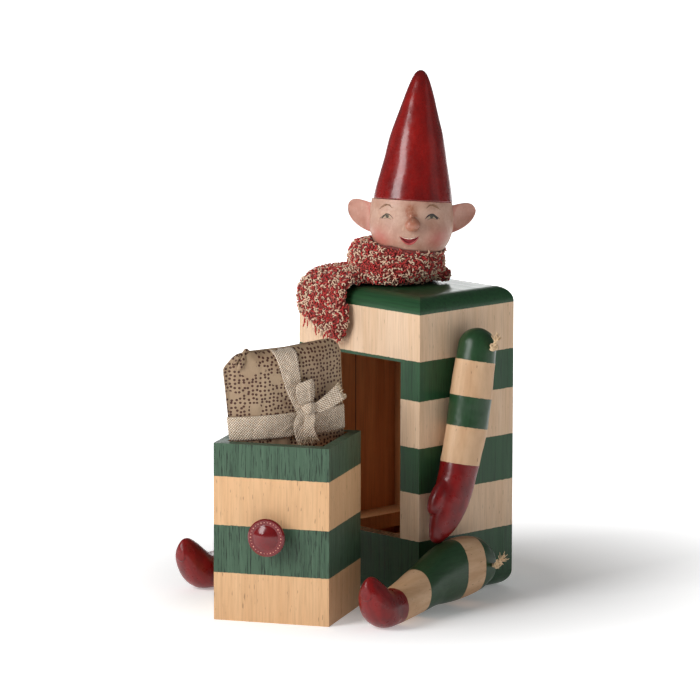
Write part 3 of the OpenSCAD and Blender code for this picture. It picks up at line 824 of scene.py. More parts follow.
def patch(outline, lift=0.14):
    """A thin pad of paint on the face, inside an outline of (angle, z) points."""
    outline = np.array(outline, float)
    middle = outline.mean(0)
    rings = []
    for share, out in ((0.06, -0.35), (0.55, -0.35), (0.97, -0.2), (1.0, 0.0),
                       (0.93, lift * 0.75), (0.7, lift), (0.4, lift), (0.06, lift)):
        rings.append([face_point(a, z, out) for a, z in middle + (outline - middle) * share])
    return loft(rings)


def crescent(middle, z, wide, rise, thick, count=26):
    """The outline of a lens bent upwards in its middle."""
    out = []
    for t in np.linspace(-1, 1, count):
        out.append((middle + wide * t, z + rise * (1 - t * t)))
    for t in np.linspace(1, -1, count)[1:-1]:
        out.append((middle + wide * t, z + (rise - thick) * (1 - t * t)))
    return out


def face_paint():
    """The painted eyes, brows, teeth and lips, as thin raised strokes and pads."""
    inks, greys, whites, brows = [], [], [], []
    for side, middle in zip((-1, 1), EYES):
        wide = EYE_HALF
        strong = 1.7 if side > 0 else 1.15
        lid = [(middle + wide * t, EYE_Z + 2.5 * (1 - t * t) - (0.6 if t * side > 0.5 else 0) * abs(t))
               for t in np.linspace(-1.05, 1.05, 9)]
        target = inks if side > 0 else greys
        target.append(brush_line(lid, [0.25, 0.75 * strong, 0.95 * strong, 1.0 * strong, 0.75 * strong]
                                 if side > 0 else [0.7 * strong, 0.9 * strong, 0.85 * strong, 0.5, 0.25]))
        for t, length, lean in ((0.42, 1.7, 2.6), (0.68, 1.9, 3.6), (0.95, 1.7, 4.2)):
            at = middle + side * wide * t
            top = EYE_Z + 2.5 * (1 - t * t)
            target.append(brush_line([(at, top), (at + side * lean * 0.5, top - length * 0.2),
                                      (at + side * lean, top - length * 0.75)], [0.5 * strong, 0.4, 0.16]))
        whites.append(patch(crescent(middle, EYE_Z - 0.4, wide * 0.72, 2.0, 1.2), 0.08))
        greys.append(patch([(middle + side * 0.4 + 3.0 * math.cos(a), EYE_Z + 0.95 + 1.0 * math.sin(a))
                            for a in circle(18)], 0.15))
        greys.append(brush_line([(middle - wide * 0.75, EYE_Z - 1.0), (middle, EYE_Z - 0.1),
                                 (middle + wide * 0.75, EYE_Z - 1.0)], [0.15, 0.35, 0.15]))
        inner, outer = middle - side * 8.5, middle + side * 15
        brows.append(brush_line([(inner, 252.6), (middle, 254.3), (outer, 250.9)], [0.35, 0.9, 0.8, 0.25]))
        brows.append(brush_line([(inner + side * 2, 253.3), (middle + side * 3, 254.6),
                                 (outer - side * 3, 252.4)], [0.15, 0.45, 0.2]))
    teeth_outline = []
    for t in np.linspace(-0.86, 0.86, 20):
        teeth_outline.append((MOUTH[0] + 13.6 * t, MOUTH[1] + 1.15 + 1.5 * t * t))
    for t in np.linspace(0.86, -0.86, 20)[1:-1]:
        teeth_outline.append((MOUTH[0] + 13.6 * t, MOUTH[1] + 0.25 + 2.1 * t * t))
    lower_lip = [(MOUTH[0] + 12.4 * t, MOUTH[1] - 2.75 + 4.4 * t * t) for t in np.linspace(-1, 1, 11)]
    upper_lip = [(MOUTH[0] + 13.6 * t, MOUTH[1] + 1.0 + 1.5 * t * t) for t in np.linspace(-1, 1, 11)]
    for name, parts, material in (
            ("eye_lines", inks, eye_ink), ("eye_shades", greys, eye_grey), ("eye_whites", whites, eye_white),
            ("brows", brows, brow_ink), ("teeth", [patch(teeth_outline, 0.25)], teeth),
            ("lips", [brush_line(lower_lip, [0.3, 1.0, 1.2, 1.0, 0.3]),
                      brush_line(upper_lip, [0.3, 0.6, 0.5, 0.6, 0.3])], lip)):
        verts, faces = merge(parts)
        add_piece(name, head_place(verts), faces, "head_body", material)


def nose_piece():
    """A round ball with a short bridge that runs up between the eyes."""
    root = face_r(0, NOSE_Z)
    rings = []
    for a in np.linspace(0.08, math.pi - 0.08, 26):
        rings.append([(5.1 * math.sin(a) * math.cos(b), 4.7 * math.sin(a) * math.sin(b), 4.6 * math.cos(a))
                      for b in circle(36)])
    verts, faces = loft(rings)
    verts = [np.array(v) * (1 + 0.03 * lumps(np.array(v) * MM, 0.003)) + (NOSE_X, -root - 2.0, NOSE_Z)
             for v in verts]
    bridge = smooth_line([(NOSE_X - 1.2, -face_r(2, 250) + 2.0, 250, 1.5),
                          (NOSE_X - 0.8, -face_r(3, 247) + 1.5, 247, 2.2),
                          (NOSE_X - 0.3, -root + 0.9, 244.2, 2.8), (NOSE_X, -root + 0.4, 241.5, 3.0)], 14)
    verts, faces = merge([(verts, faces), tube(bridge[:, :3], bridge[:, 3], 22)])
    verts, faces = fuse(np.array(verts) * MM, faces, 0.00045, 4)
    add_piece("nose_ball", head_place(verts / MM), faces, "head_body", nose_skin, ("nose",))


# An ear's outline: distance out from the head's axis, lowest and highest point
EAR = [(23.5, 232.0, 252.2), (27.0, 232.8, 252.6), (30.5, 234.2, 253.6), (34.0, 236.0, 254.4),
       (37.2, 238.4, 254.6), (39.8, 241.2, 253.8), (41.6, 244.4, 251.8), (42.2, 247.4, 249.8)]


def ear_piece(side, name):
    """A leaf that gets thinner outwards, hollow in front, with a soft rim."""
    rows = smooth_line(EAR, 30)
    if side > 0:
        rows[:, 2] -= 3.0 * np.linspace(0.4, 1.0, 30)
    rings = []
    for i, (x, low, high) in enumerate(rows):
        middle, half = (low + high) / 2, max(0.2, (high - low) / 2)
        out = (x - 24) / 17.6
        back = 1.4 + 4.2 * out ** 0.8
        thick = 3.3 * (1 - 0.35 * out)
        if i > 24:
            thick *= math.sqrt(max(0.05, 1 - ((i - 24) / 6) ** 2))
        ring = []
        for a in circle(40):
            v = bent(math.cos(a), 0.8)
            depth = bent(math.sin(a), 0.75) * thick / 2
            dish = 2.3 * max(0.0, 1 - v * v) * min(1, out * 3.0) * max(0, 1 - out * 0.75)
            if depth < 0:
                depth += dish
            ring.append((side * x, back + depth + 0.9 * (1 - v * v), middle + half * v))
        rings.append(ring)
    verts, faces = loft(rings)
    if side < 0:
        faces = [f[::-1] for f in faces]
    piece = add_piece(name + "_leaf", head_place(verts), faces, "head_body", ear_skin, (name,))
    smooth = piece.modifiers.new("smooth", "SUBSURF")
    smooth.levels = smooth.render_levels = 1
    set_note(piece, "blush", [0.55 if v[1] < 3.2 else 0.15 for v in verts])
    set_note(piece, "worn", [0] * len(verts))


# The hat's radius in millimetres at shares of its height
HAT_PROFILE = [(0, 26.2), (0.05, 25.5), (0.115, 24.4), (0.21, 22.6), (0.3, 20.9), (0.4, 19.2), (0.5, 17.3),
               (0.6, 14.9), (0.69, 12.5), (0.78, 10.1), (0.86, 7.9), (0.92, 6.1), (0.96, 4.5), (0.985, 2.9),
               (0.997, 1.2)]


def hat_piece():
    """The turned hat, a little uneven as sanded and brushed by hand."""
    rings = []
    rim = HAT_PROFILE[0][1]
    stations = [(0.0, rim * 0.9), (0.0, rim - 0.5), (0.45 / HAT_H, rim)]
    stations += [tuple(row) for row in smooth_line(HAT_PROFILE, 110) if 0.9 / HAT_H < row[0] < 1]
    for t, r in stations:
        h = HAT_H * t
        ring = []
        for a in circle(120):
            place = (0.026 * math.cos(a), 0.026 * math.sin(a), h * MM)
            bumpy = 0.26 * lumps(place, 0.017) + 0.07 * lumps(place, 0.005, 3.0)
            out = r + (bumpy if h > 1 else 0) * min(1, r / 8)
            ring.append(tuple(HAT_BRIM @ Vector((out * math.cos(a), out * math.sin(a), h))))
        rings.append(ring)
    verts, faces = loft(rings)
    add_piece("hat_cone", head_place(verts), faces, "head_body", red_hat, ("hat",))


head_piece()
face_paint()
nose_piece()
ear_piece(-1, "left_ear")
ear_piece(1, "right_ear")
hat_piece()


# ---------------------------------------------------------------- scarf

# The collar's middle, and the radii of its ring and of its roll, in millimetres
COLLAR = (-9.4, -0.7, 213.2)
COLLAR_RING = 19.4
COLLAR_THICK = 12.0
# Along the tail: its left edge, its right edge and half its thickness
TAIL = [((-30, -8, 211), (-4, -26, 212), 5.6), ((-38, -16, 206.6), (-10, -34, 206.6), 5.4),
        ((-45, -29, 205.6), (-10, -41.5, 205.8), 4.8), ((-47.6, -41, 203.6), (-10.5, -44.4, 203.4), 4.4),
        ((-48.6, -47.6, 196), (-11, -47.8, 196.4), 4.3), ((-48.4, -48.2, 185.4), (-8.6, -48.4, 180), 4.4),
        ((-46.6, -48.6, 180), (-13.5, -48.6, 166), 4.2)]
# Along the short end: place and radius
SHORT_END = [(9, 11, 209, 7.0), (15, 16, 206.4, 5.4), (19.6, 20, 204.6, 3.8)]
# The top plate's height and the radius of its rounded edge
PLATE_TOP, PLATE_ROUND = 200.0, 10.0
# The least distance between loops of yarn, in metres, and how many places are tried
LOOP_GAP, LOOP_TRIES = 0.00164, 52000
# The share of the yarn that stands in curls, and how many loose ends hang from the tail
CURL_SHARE = 0.68
LOOSE_ENDS = 26
YARN_RED = rgb(196, 34, 38)
YARN_CREAM = rgb(240, 212, 182)


def collar_rings():
    """The folded roll round the neck, whose top is lower behind and to the right."""
    rings = []
    for a in circle(96):
        out = np.array((math.cos(a), math.sin(a), 0))
        ring = []
        for b in circle(30):
            fold = 1 + 0.07 * math.sin(2 * b + 3 * a) + 0.06 * math.sin(3 * b - 2 * a + 1)
            r = COLLAR_THICK * fold
            tilt = -1.9 * (0.69 * math.cos(a) + 0.72 * math.sin(a)) * max(0.0, math.sin(b) + 0.3)
            ring.append(np.array(COLLAR) + out * (COLLAR_RING + r * math.cos(b))
                        + np.array((0, 0, r * 1.04 * math.sin(b) + tilt)))
        rings.append(ring)
    return [v for ring in rings for v in ring], wrapped_faces(len(rings), 30)


def tail_rings():
    """The flat tail: an oval band that runs over the top's front edge and down the front."""
    left = smooth_line([a for a, _, _ in TAIL], 60)
    right = smooth_line([b for _, b, _ in TAIL], 60)
    thick = evenly([t for _, _, t in TAIL], 60)
    middle = (left + right) / 2
    forward = np.gradient(middle, axis=0)
    rings = []
    for i in range(60):
        across = (right[i] - left[i]) / 2
        t = forward[i] / np.linalg.norm(forward[i])
        n = unit(np.cross(across, t))
        half = np.linalg.norm(across)
        side = across / half
        ring = []
        for a in circle(48):
            u = bent(math.cos(a), 0.55)
            v = bent(math.sin(a), 0.8)
            rib = 0.5 * math.sin(u * 7.5 + i * 0.12)
            ring.append(middle[i] + side * (u * (half + 2.6)) + n * (v * thick[i] + rib))
        rings.append(ring)
    return rings


# Heights between which the scarf has to clear the head, and the neck's radius below them
CHIN_Z, HAT_Z = WIDEST - 27.9, 256.0
NECK_R = 12.0


def head_reach(dx, dy, z):
    """The head's radius in the direction of a place about the neck's axis, in millimetres."""
    if z < CHIN_Z or z > HAT_Z:
        return 0.0
    return face_r(math.degrees(math.atan2(dy, dx) - head_turn + math.pi / 2), z)


def clear_of_body(point, gap=0.4):
    """Moves a point of the scarf off the head, the top plate and the front panel, in millimetres."""
    x, y, z = point
    dx, dy = x - neck.x / MM, y - neck.y / MM
    r = math.hypot(dx, dy)
    need = max(head_reach(dx, dy, z) + 0.8, NECK_R) + gap
    if r < need and z < 240:
        dx, dy = dx * need / max(r, 0.01), dy * need / max(r, 0.01)
        x, y = dx + neck.x / MM, dy + neck.y / MM
    front = box_low[1] / MM
    if y < front:
        if z < PLATE_TOP - PLATE_ROUND:
            y = min(y, front - gap)
    else:
        short = PLATE_ROUND - min(y - front, PLATE_ROUND)
        ceiling = PLATE_TOP - PLATE_ROUND + math.sqrt(max(0.0, PLATE_ROUND ** 2 - short ** 2))
        z = max(z, ceiling + gap)
    return np.array((x, y, z))


def scarf_base():
    """The collar, its tail and its short end as one lumpy cloth that clears the box and the head."""
    parts = [collar_rings(), loft(tail_rings())]
    short = smooth_line(SHORT_END, 12)
    parts.append(tube(short[:, :3], short[:, 3], 20))
    verts, faces = merge(parts)
    verts, faces = fuse(np.array(verts) * MM, faces, 0.0013, 5)
    out = []
    for v in verts:
        away = v - np.array(COLLAR) * MM
        away /= max(np.linalg.norm(away), 1e-6)
        v = v + away * (0.9 * lumps(v, 0.009) + 0.5 * lumps(v, 0.004, 5.0)) * MM
        out.append(clear_of_body(v / MM) * MM)
    return np.array(out), faces


def yarn_material():
    """Fluffy yarn, red or cream by what each loop says."""
    p = Paint("boucle_yarn")
    share = p.note("cream")
    place = p.place()
    fibre = p.noise(place, 2600, 4, 0.7)
    color = p.mix(share, YARN_RED, YARN_CREAM)
    color = p.mix(p.step(fibre, 0.3, 0.7, 0.0, 0.22), color, rgb(96, 40, 34))
    return p.finish(color, 0.85, p.bump(fibre, 0.6, 0.0003), Sheen_Weight=0.12, Sheen_Roughness=0.6,
                    Specular_IOR_Level=0.2)


def ground_shade_material():
    """The mottled cloth under the loops, its red darkened as painted shade between the loops."""
    p = Paint("boucle_ground_shade")
    place = p.place()
    mottle = p.noise(place, 620, 3, 0.7)
    # The dark reds are painted shade in the gaps between the loops
    return p.finish(p.mix(p.step(mottle, 0.35, 0.65), rgb(98, 18, 18), rgb(140, 62, 50)), 0.9,
                    p.bump(mottle, 1.0, 0.0012), Sheen_Weight=0.3, Specular_IOR_Level=0.15)


def worm(at, along, out, size, thick):
    """A short humped length of yarn on the cloth."""
    side = np.cross(out, along)
    path = [at + along * size * t + side * size * 0.35 * (1 - t * t) + out * (0.6 * size * (1 - t * t) - 0.15)
            for t in np.linspace(-1, 1, 5)]
    return tube(path, thick * np.array([0.6, 1.0, 1.05, 1.0, 0.6]), 4, up=tuple(out))


def curl(at, along, out, size, thick, tilt):
    """A small open ring of yarn that stands out of the cloth at a tilt."""
    side = np.cross(out, along)
    rise = out * math.cos(tilt) + side * math.sin(tilt)
    path = [at + out * size * 0.45 + size * (along * math.cos(a) + rise * math.sin(a))
            for a in np.linspace(-0.9, 4.0, 8)]
    return tube(path, thick * np.array([0.7, 1, 1, 1, 1, 1, 1, 0.7]), 4, up=tuple(np.cross(along, rise)))


def spread_on(verts, faces, spacing, tries, seed):
    """Points spread over a skin at no less than a spacing."""
    chance = np.random.default_rng(seed)
    a, b, c = (np.array([verts[f[corner]] for f in faces]) for corner in range(3))
    cross = np.cross(b - a, c - a)
    area = np.linalg.norm(cross, axis=1)
    picks = chance.choice(len(faces), tries, p=area / area.sum())
    u, v = chance.random(tries), chance.random(tries)
    flip = u + v > 1
    u[flip], v[flip] = 1 - u[flip], 1 - v[flip]
    points = a[picks] + u[:, None] * (b[picks] - a[picks]) + v[:, None] * (c[picks] - a[picks])
    taken, cells = [], {}
    for i, p in enumerate(points):
        key = tuple((p // spacing).astype(int))
        near = (cells.get((key[0] + x, key[1] + y, key[2] + z), ()) for x in (-1, 0, 1) for y in (-1, 0, 1)
                for z in (-1, 0, 1))
        if all(np.sum((points[k] - p) ** 2) > spacing ** 2 for cell in near for k in cell):
            cells.setdefault(key, []).append(i)
            taken.append(i)
    return points[taken]


def unseen(at, normal):
    """Whether a place on the scarf faces the neck, the top plate or the front panel."""
    dx, dy = at[0] - neck.x / MM, at[1] - neck.y / MM
    reach = math.hypot(dx, dy)
    inwards = -(normal[0] * dx + normal[1] * dy) / max(reach, 1e-6)
    on_neck = reach < max(head_reach(dx, dy, at[2]), NECK_R) + 2.2 and inwards > 0.35
    on_plate = at[2] < PLATE_TOP + 2.0 and normal[2] < -0.5 and at[1] > -43
    on_front = at[2] < PLATE_TOP - 1.0 and normal[1] > 0.6 and at[1] < -42
    return on_neck or on_plate or on_front


def scarf_piece():
    """The knitted cloth, with loops of yarn all over it and loose ends along the tail."""
    verts, faces = scarf_base()
    base = add_piece("scarf_knit", verts, faces, "root", ground_shade_material(), ("scarf",))
    outward = np.array([v.normal for v in base.data.vertices])
    points = spread_on(verts, faces, LOOP_GAP, LOOP_TRIES, 11)
    tree = BVHTree.FromPolygons([Vector(v) for v in verts], faces)
    chance = np.random.default_rng(5)
    parts, cream = [], []
    for p in points:
        near = tree.find_nearest(Vector(p))
        n = np.array(near[1])
        if np.dot(outward[faces[near[2]][0]], n) < 0:
            n = -n
        mm = p / MM
        if unseen(mm, n):
            continue
        along = chance.normal(size=3)
        along = unit(along - n * (along @ n))
        thick = chance.uniform(0.38, 0.52)
        if chance.random() < CURL_SHARE:
            parts.append(curl(mm, along, n, chance.uniform(0.7, 1.1), thick, chance.uniform(0.1, 1.35)))
        else:
            parts.append(worm(mm, along, n, chance.uniform(0.9, 1.6), thick * 1.15))
        tone = chance.random()
        shades = (0.0, 0.12) if tone < 0.44 else (0.3, 0.55) if tone < 0.52 else (0.82, 1.0)
        cream += [chance.uniform(*shades)] * len(parts[-1][0])
    # Loose ends hang from the tail's lower edge
    left, right = np.array(TAIL[-1][0]), np.array(TAIL[-1][1])
    for k in range(LOOSE_ENDS):
        t = (k + 0.5 + chance.uniform(-0.3, 0.3)) / LOOSE_ENDS
        start = left + (right - left) * t + np.array((0, chance.uniform(-3, 3), -3.2))
        drop = np.array((chance.uniform(-1.2, 1.2), chance.uniform(-0.6, 0.3), -chance.uniform(2.2, 4.6)))
        middle = start + drop * 0.5 + np.array((chance.uniform(-0.8, 0.8), -0.3, 0))
        path = smooth_line([start - drop * 0.4, middle, start + drop], 7)
        parts.append(tube(path, 0.42, 5))
        cream += [float(chance.random() > 0.5)] * len(parts[-1][0])
    verts, faces = merge(parts)
    loops = add_piece("scarf_loops", np.array(verts) * MM, faces, "root", yarn_material())
    set_note(loops, "cream", cream)


scarf_piece()


# ---------------------------------------------------------------- gift

# The parcel's turn and lean in the drawer, its place there, its size and the radii of its corners, and its
# ribbon's width and places
GIFT_TURN, GIFT_LEAN = 39.0, -2.6
GIFT_Y, GIFT_PIVOT = 0.6, 120.0
GIFT_LOW, GIFT_HIGH, GIFT_W, GIFT_T = 66.0, 176.0, 78.0, 20.0
TOP_ROUND, LOW_ROUND = 9, 20
RIBBON_W, RIBBON_Z, TIE_X = 15.5, 124.5, 4.0


def gift_place(points):
    """Points in millimetres in the parcel's own frame as metres in the row frame."""
    turn = Matrix.Rotation(math.radians(GIFT_TURN), 3, "Z") @ Matrix.Rotation(math.radians(GIFT_LEAN), 3, "Y")
    pivot = Vector((0, 0, GIFT_PIVOT))
    lift = Vector((0, GIFT_Y, GIFT_PIVOT))
    return drawer_place([turn @ (Vector(p) - pivot) + lift for p in points])


def gift_half_w(z):
    """Half the parcel's width at a height, rounded at its top and bottom corners."""
    w = GIFT_W / 2 - 0.4
    for past, radius in ((z - GIFT_HIGH + TOP_ROUND, TOP_ROUND), (GIFT_LOW + LOW_ROUND - z, LOW_ROUND)):
        if past > 0:
            w -= radius * (1 - math.sqrt(max(0.0, 1 - (past / radius) ** 2)))
    return max(w, 2.0)


def gift_half_t(x, z):
    """Half the parcel's thickness at a place: full in the middle, thin at its ends and its folded top."""
    share = min(1.0, abs(x) / (GIFT_W / 2 + 0.6))
    t = GIFT_T / 2 * (1 - share ** 2.3)
    up = max(0.0, (z - GIFT_HIGH + 15) / 15)
    down = max(0.0, (GIFT_LOW + 14 - z) / 14)
    t *= (1 - up ** 2.4) ** 0.5 if up < 1 else 0
    t *= (1 - down ** 2.4) ** 0.5 if down < 1 else 0
    return max(t, 0.35)


def creases(x, z, front):
    """Soft dents and sharp creases of the wrapping paper, in millimetres."""
    place = np.array((x, 40.0 * front, z)) * MM
    soft = 0.55 * lumps(place, 0.022) + 0.28 * lumps(place, 0.010, 4.0)
    ridge = abs(lumps(place * (1.0, 1.0, 0.45), 0.013, 9.0))
    sharp = -0.75 * max(0.0, 0.16 - ridge) / 0.16
    near_tie = math.exp(-((x - TIE_X) / 16) ** 2) * math.exp(-((z - 140) / 26) ** 2)
    fan = 0.55 * near_tie * math.sin(math.atan2(z - 128, x - TIE_X) * 14)
    waist = -0.7 * math.exp(-((z - RIBBON_Z) / 9) ** 2)
    tie = -0.6 * math.exp(-((x - TIE_X) / 9) ** 2) if z > RIBBON_Z else 0
    return soft + 0.6 * sharp + fan + waist + tie


def gift_surface(x, z, front, out=0.0):
    """The y of the parcel's front (front = -1) or back skin, in its own frame."""
    t = gift_half_t(x, z)
    fade = min(1.0, t / 4)
    return front * (t + creases(x, z, front) * fade + out)


def flare(x, z):
    """The parcel's left end stands out a little above the drawer, where nothing holds it."""
    free = min(1.0, max(0.0, (z - 116) / 45))
    above = min(1.0, max(0.0, (z - 115) / 5))
    return x - (1.1 * above + 3.0 * free) * max(0.0, -x / 39) ** 2


# The height where the top starts to be folded down, and how tall the folded part is
FOLD_Z, FOLD_TALL = 150, 26
# How far the folded top edge lies below the parcel's full height, from its left end to its right
TOP_EDGE = [(-46, 11), (-42, 9), (-39, 7.0), (-36, 5.0), (-33, 3.6), (-29.4, 2.9), (-24.7, 2.3), (-17.3, 4.0),
            (-8, 2.5), (0, 3.0), (11, 3.1), (17.5, 1.8), (27, 0.0), (32, 0.0), (37, 1.2), (42, 3)]


def top_edge(x):
    """How far the folded top edge lies below the parcel's full height."""
    return at_station(TOP_EDGE, x)


def top_drop(x, z):
    """How far a place on the parcel is lowered towards its folded top edge."""
    return top_edge(x) * max(0.0, (z - FOLD_Z) / FOLD_TALL) ** 2


def gift_section(a, z):
    """A place on the parcel's outline: its x, its side, and its share of the thickness, 0 at either end."""
    x = gift_half_w(z) * bent(math.cos(a), 0.9)
    return x, -1 if math.sin(a) < 0 else 1, min(1.0, abs(math.sin(a)) * 2.5)


def gift_piece():
    """The soft parcel, and the corner of its paper that is folded over."""
    rings = []
    for share in 0.5 - 0.5 * np.cos(np.linspace(0.03, math.pi - 0.03, 150)):
        z0 = GIFT_LOW + (GIFT_HIGH - GIFT_LOW) * share
        ring = []
        for a in circle(176):
            x, front, edge = gift_section(a, z0)
            x = flare(x, z0)
            ring.append((x, gift_surface(x * 0.999, z0, front) * edge ** 0.6, z0 - top_drop(x, z0)))
        rings.append(ring)
    verts, faces = loft(rings)
    paper = paper_material()
    piece = add_piece("gift_wrap", gift_place(verts), faces, "gift_body", paper,
                      ("gift_parcel",))
    spot = np.array(verts)
    set_note(piece, "side_way", spot[:, 0] + 200 * (spot[:, 1] > 0))
    set_note(piece, "up_way", spot[:, 2])

    # The corner of the paper that is folded over itself at the top left
    parts = []
    for points, radii in (
            ([(-33.8, -3.6, 162.6), (-32.6, -4.6, 165.0), (-30.2, -4.2, 168.6), (-28.0, -2.0, 172.2)],
             [0.9, 1.9, 2.1, 1.2]),
            ([(-36.2, -2.8, 166.4), (-32.6, -2.8, 170.0), (-28.6, -1.2, 173.0)], [0.7, 1.4, 0.9]),
            ([(-30.4, -2.2, 171.4), (-27.0, -1.4, 174.2), (-24.6, -0.8, 173.4)], [0.8, 1.5, 0.7])):
        line = smooth_line(points, 16)
        parts.append(tube(line, evenly(radii, 16), 14, up=(0, 1, 0), flat=0.6))
    verts, faces = merge(parts)
    fold = add_piece("gift_fold", gift_place(verts), faces, "gift_body", paper)
    spot = np.array(verts)
    set_note(fold, "side_way", spot[:, 0] + 41)
    set_note(fold, "up_way", spot[:, 2] + 13)


def paper_material():
    """Kraft paper printed with loose groups of dark red dots between plain patches."""
    p = Paint("paper")
    side = p.note("side_way")
    up = p.note("up_way")
    flat = p.node("CombineXYZ", {0: side, 1: up, 2: 0.0}).outputs[0]
    cells = p.node("TexVoronoi", {"Vector": flat, "Scale": 0.385, "Randomness": 0.52},
                   voronoi_dimensions="2D", feature="F1").outputs["Distance"]
    wobble = p.wobble(flat, 1.3, 0.05)
    dots = p.step(p.math("ADD", cells, wobble), 0.325, 0.295)
    patches = p.noise(flat, 0.06, 1, 0.4)
    dots = p.math("MULTIPLY", dots, p.step(patches, 0.615, 0.60))
    place = p.place()
    fibre = p.noise(p.scaled(place, (1, 1, 0.4)), 1500, 4, 0.7)
    tone = p.noise(place, 60, 3, 0.5)
    paper = p.mix(p.step(tone, 0.3, 0.7), rgb(152, 126, 100), rgb(174, 150, 122))
    paper = p.mix(p.step(fibre, 0.5, 0.8, 0.0, 0.35), paper, rgb(122, 98, 74))
    ink = p.mix(p.step(fibre, 0.3, 0.7), rgb(46, 14, 10), rgb(70, 20, 14))
    return p.finish(p.mix(p.math("MULTIPLY", dots, 0.92), paper, ink), p.step(fibre, 0.3, 0.7, 0.5, 0.62),
                    p.bump(p.math("ADD", fibre, p.math("MULTIPLY", tone, 0.4)), 0.3, 0.0003),
                    Specular_IOR_Level=0.35)


def weave_material():
    """Loose linen weave with a bright thread, laid out by each strip's own across and along."""
    p = Paint("linen")
    across = p.note("across")
    along = p.note("along")
    flat = p.node("CombineXYZ", {0: across, 1: along, 2: 0.0}).outputs[0]
    bend = p.wobble(flat, 0.9, 0.5)
    warp = p.math("SINE", p.math("MULTIPLY", p.math("ADD", across, bend), 2 * math.pi / 1.7))
    weft = p.math("SINE", p.math("MULTIPLY", p.math("ADD", along, bend), 2 * math.pi / 1.7))
    over = p.math("MULTIPLY", warp, weft)
    fibre = p.noise(flat, 7, 4, 0.7)
    height = p.add(over, 0.5, fibre, 0.5)
    thread = p.step(p.noise(flat, 0.8, 3, 0.7), 0.38, 0.52)
    color = p.mix(p.step(over, -0.35, 0.35), rgb(162, 132, 104), rgb(255, 232, 204))
    color = p.mix(p.math("MULTIPLY", thread, p.step(over, 0.0, 0.45)), color, rgb(248, 238, 222))
    color = p.mix(p.step(fibre, 0.55, 0.8, 0.0, 0.4), color, rgb(172, 140, 112))
    return p.finish(color, p.step(thread, 0.0, 1.0, 0.7, 0.3), p.bump(height, 0.9, 0.0006),
                    Sheen_Weight=0.2, Specular_IOR_Level=0.45)


def strip(middles, sides, normals, widths, thick=0.55, ripple=0.0, seed=0.0):
    """A flat closed ribbon through middles, with its own across and along kept in millimetres."""
    rings, across, along = [], [], []
    run = 0.0
    columns = 15
    for i, (m, s, n, w) in enumerate(zip(middles, sides, normals, widths)):
        m, s, n = (np.array(v, float) for v in (m, s, n))
        if i:
            run += np.linalg.norm(m - np.array(middles[i - 1]))
        top, bottom = [], []
        for u in np.linspace(-1, 1, columns):
            wave = ripple * lumps((run * MM, u * w * MM, 0), 0.0035, seed)
            at = m + s * u * w + n * wave
            top.append((at + n * thick / 2, u * w, run))
            bottom.append((at - n * thick / 2, u * w, run))
        row = top + bottom[::-1]
        rings.append([r[0] for r in row])
        across += [r[1] for r in row]
        along += [r[2] for r in row]
    verts, faces = loft(rings)
    return (verts, faces), across + [0, 0], along + [0, run]


def threads(at, direction, side, normal, width, count, length, chance):
    """Loose threads at the cut end of a ribbon."""
    parts = []
    for k in range(count):
        u = (2 * (k + 0.5) / count - 1) * width
        start = at + side * u
        way = direction + side * (0.35 * u / max(width, 1) + chance.uniform(-0.25, 0.25)) \
            + normal * chance.uniform(-0.25, 0.25)
        reach = length * chance.uniform(0.6, 1.15)
        middle = start + way * reach * 0.5 + normal * chance.uniform(-0.3, 0.3)
        path = smooth_line([start - direction * 0.6, middle, start + way * reach], 6)
        parts.append(tube(path, chance.uniform(0.2, 0.34), 5))
    return parts


# Up the parcel's front, the x and the half width of the tie at heights
TIE_LINE = [(127, 8.5), (134, 6.5), (142, 4.3), (151, 0.7), (162, -1.4), (175, -2.9)]
TIE_WIDE = [(130, 4.0), (136, 5.4), (142, 6.6), (151, 5.8), (162, 6.4), (172, RIBBON_W / 2)]


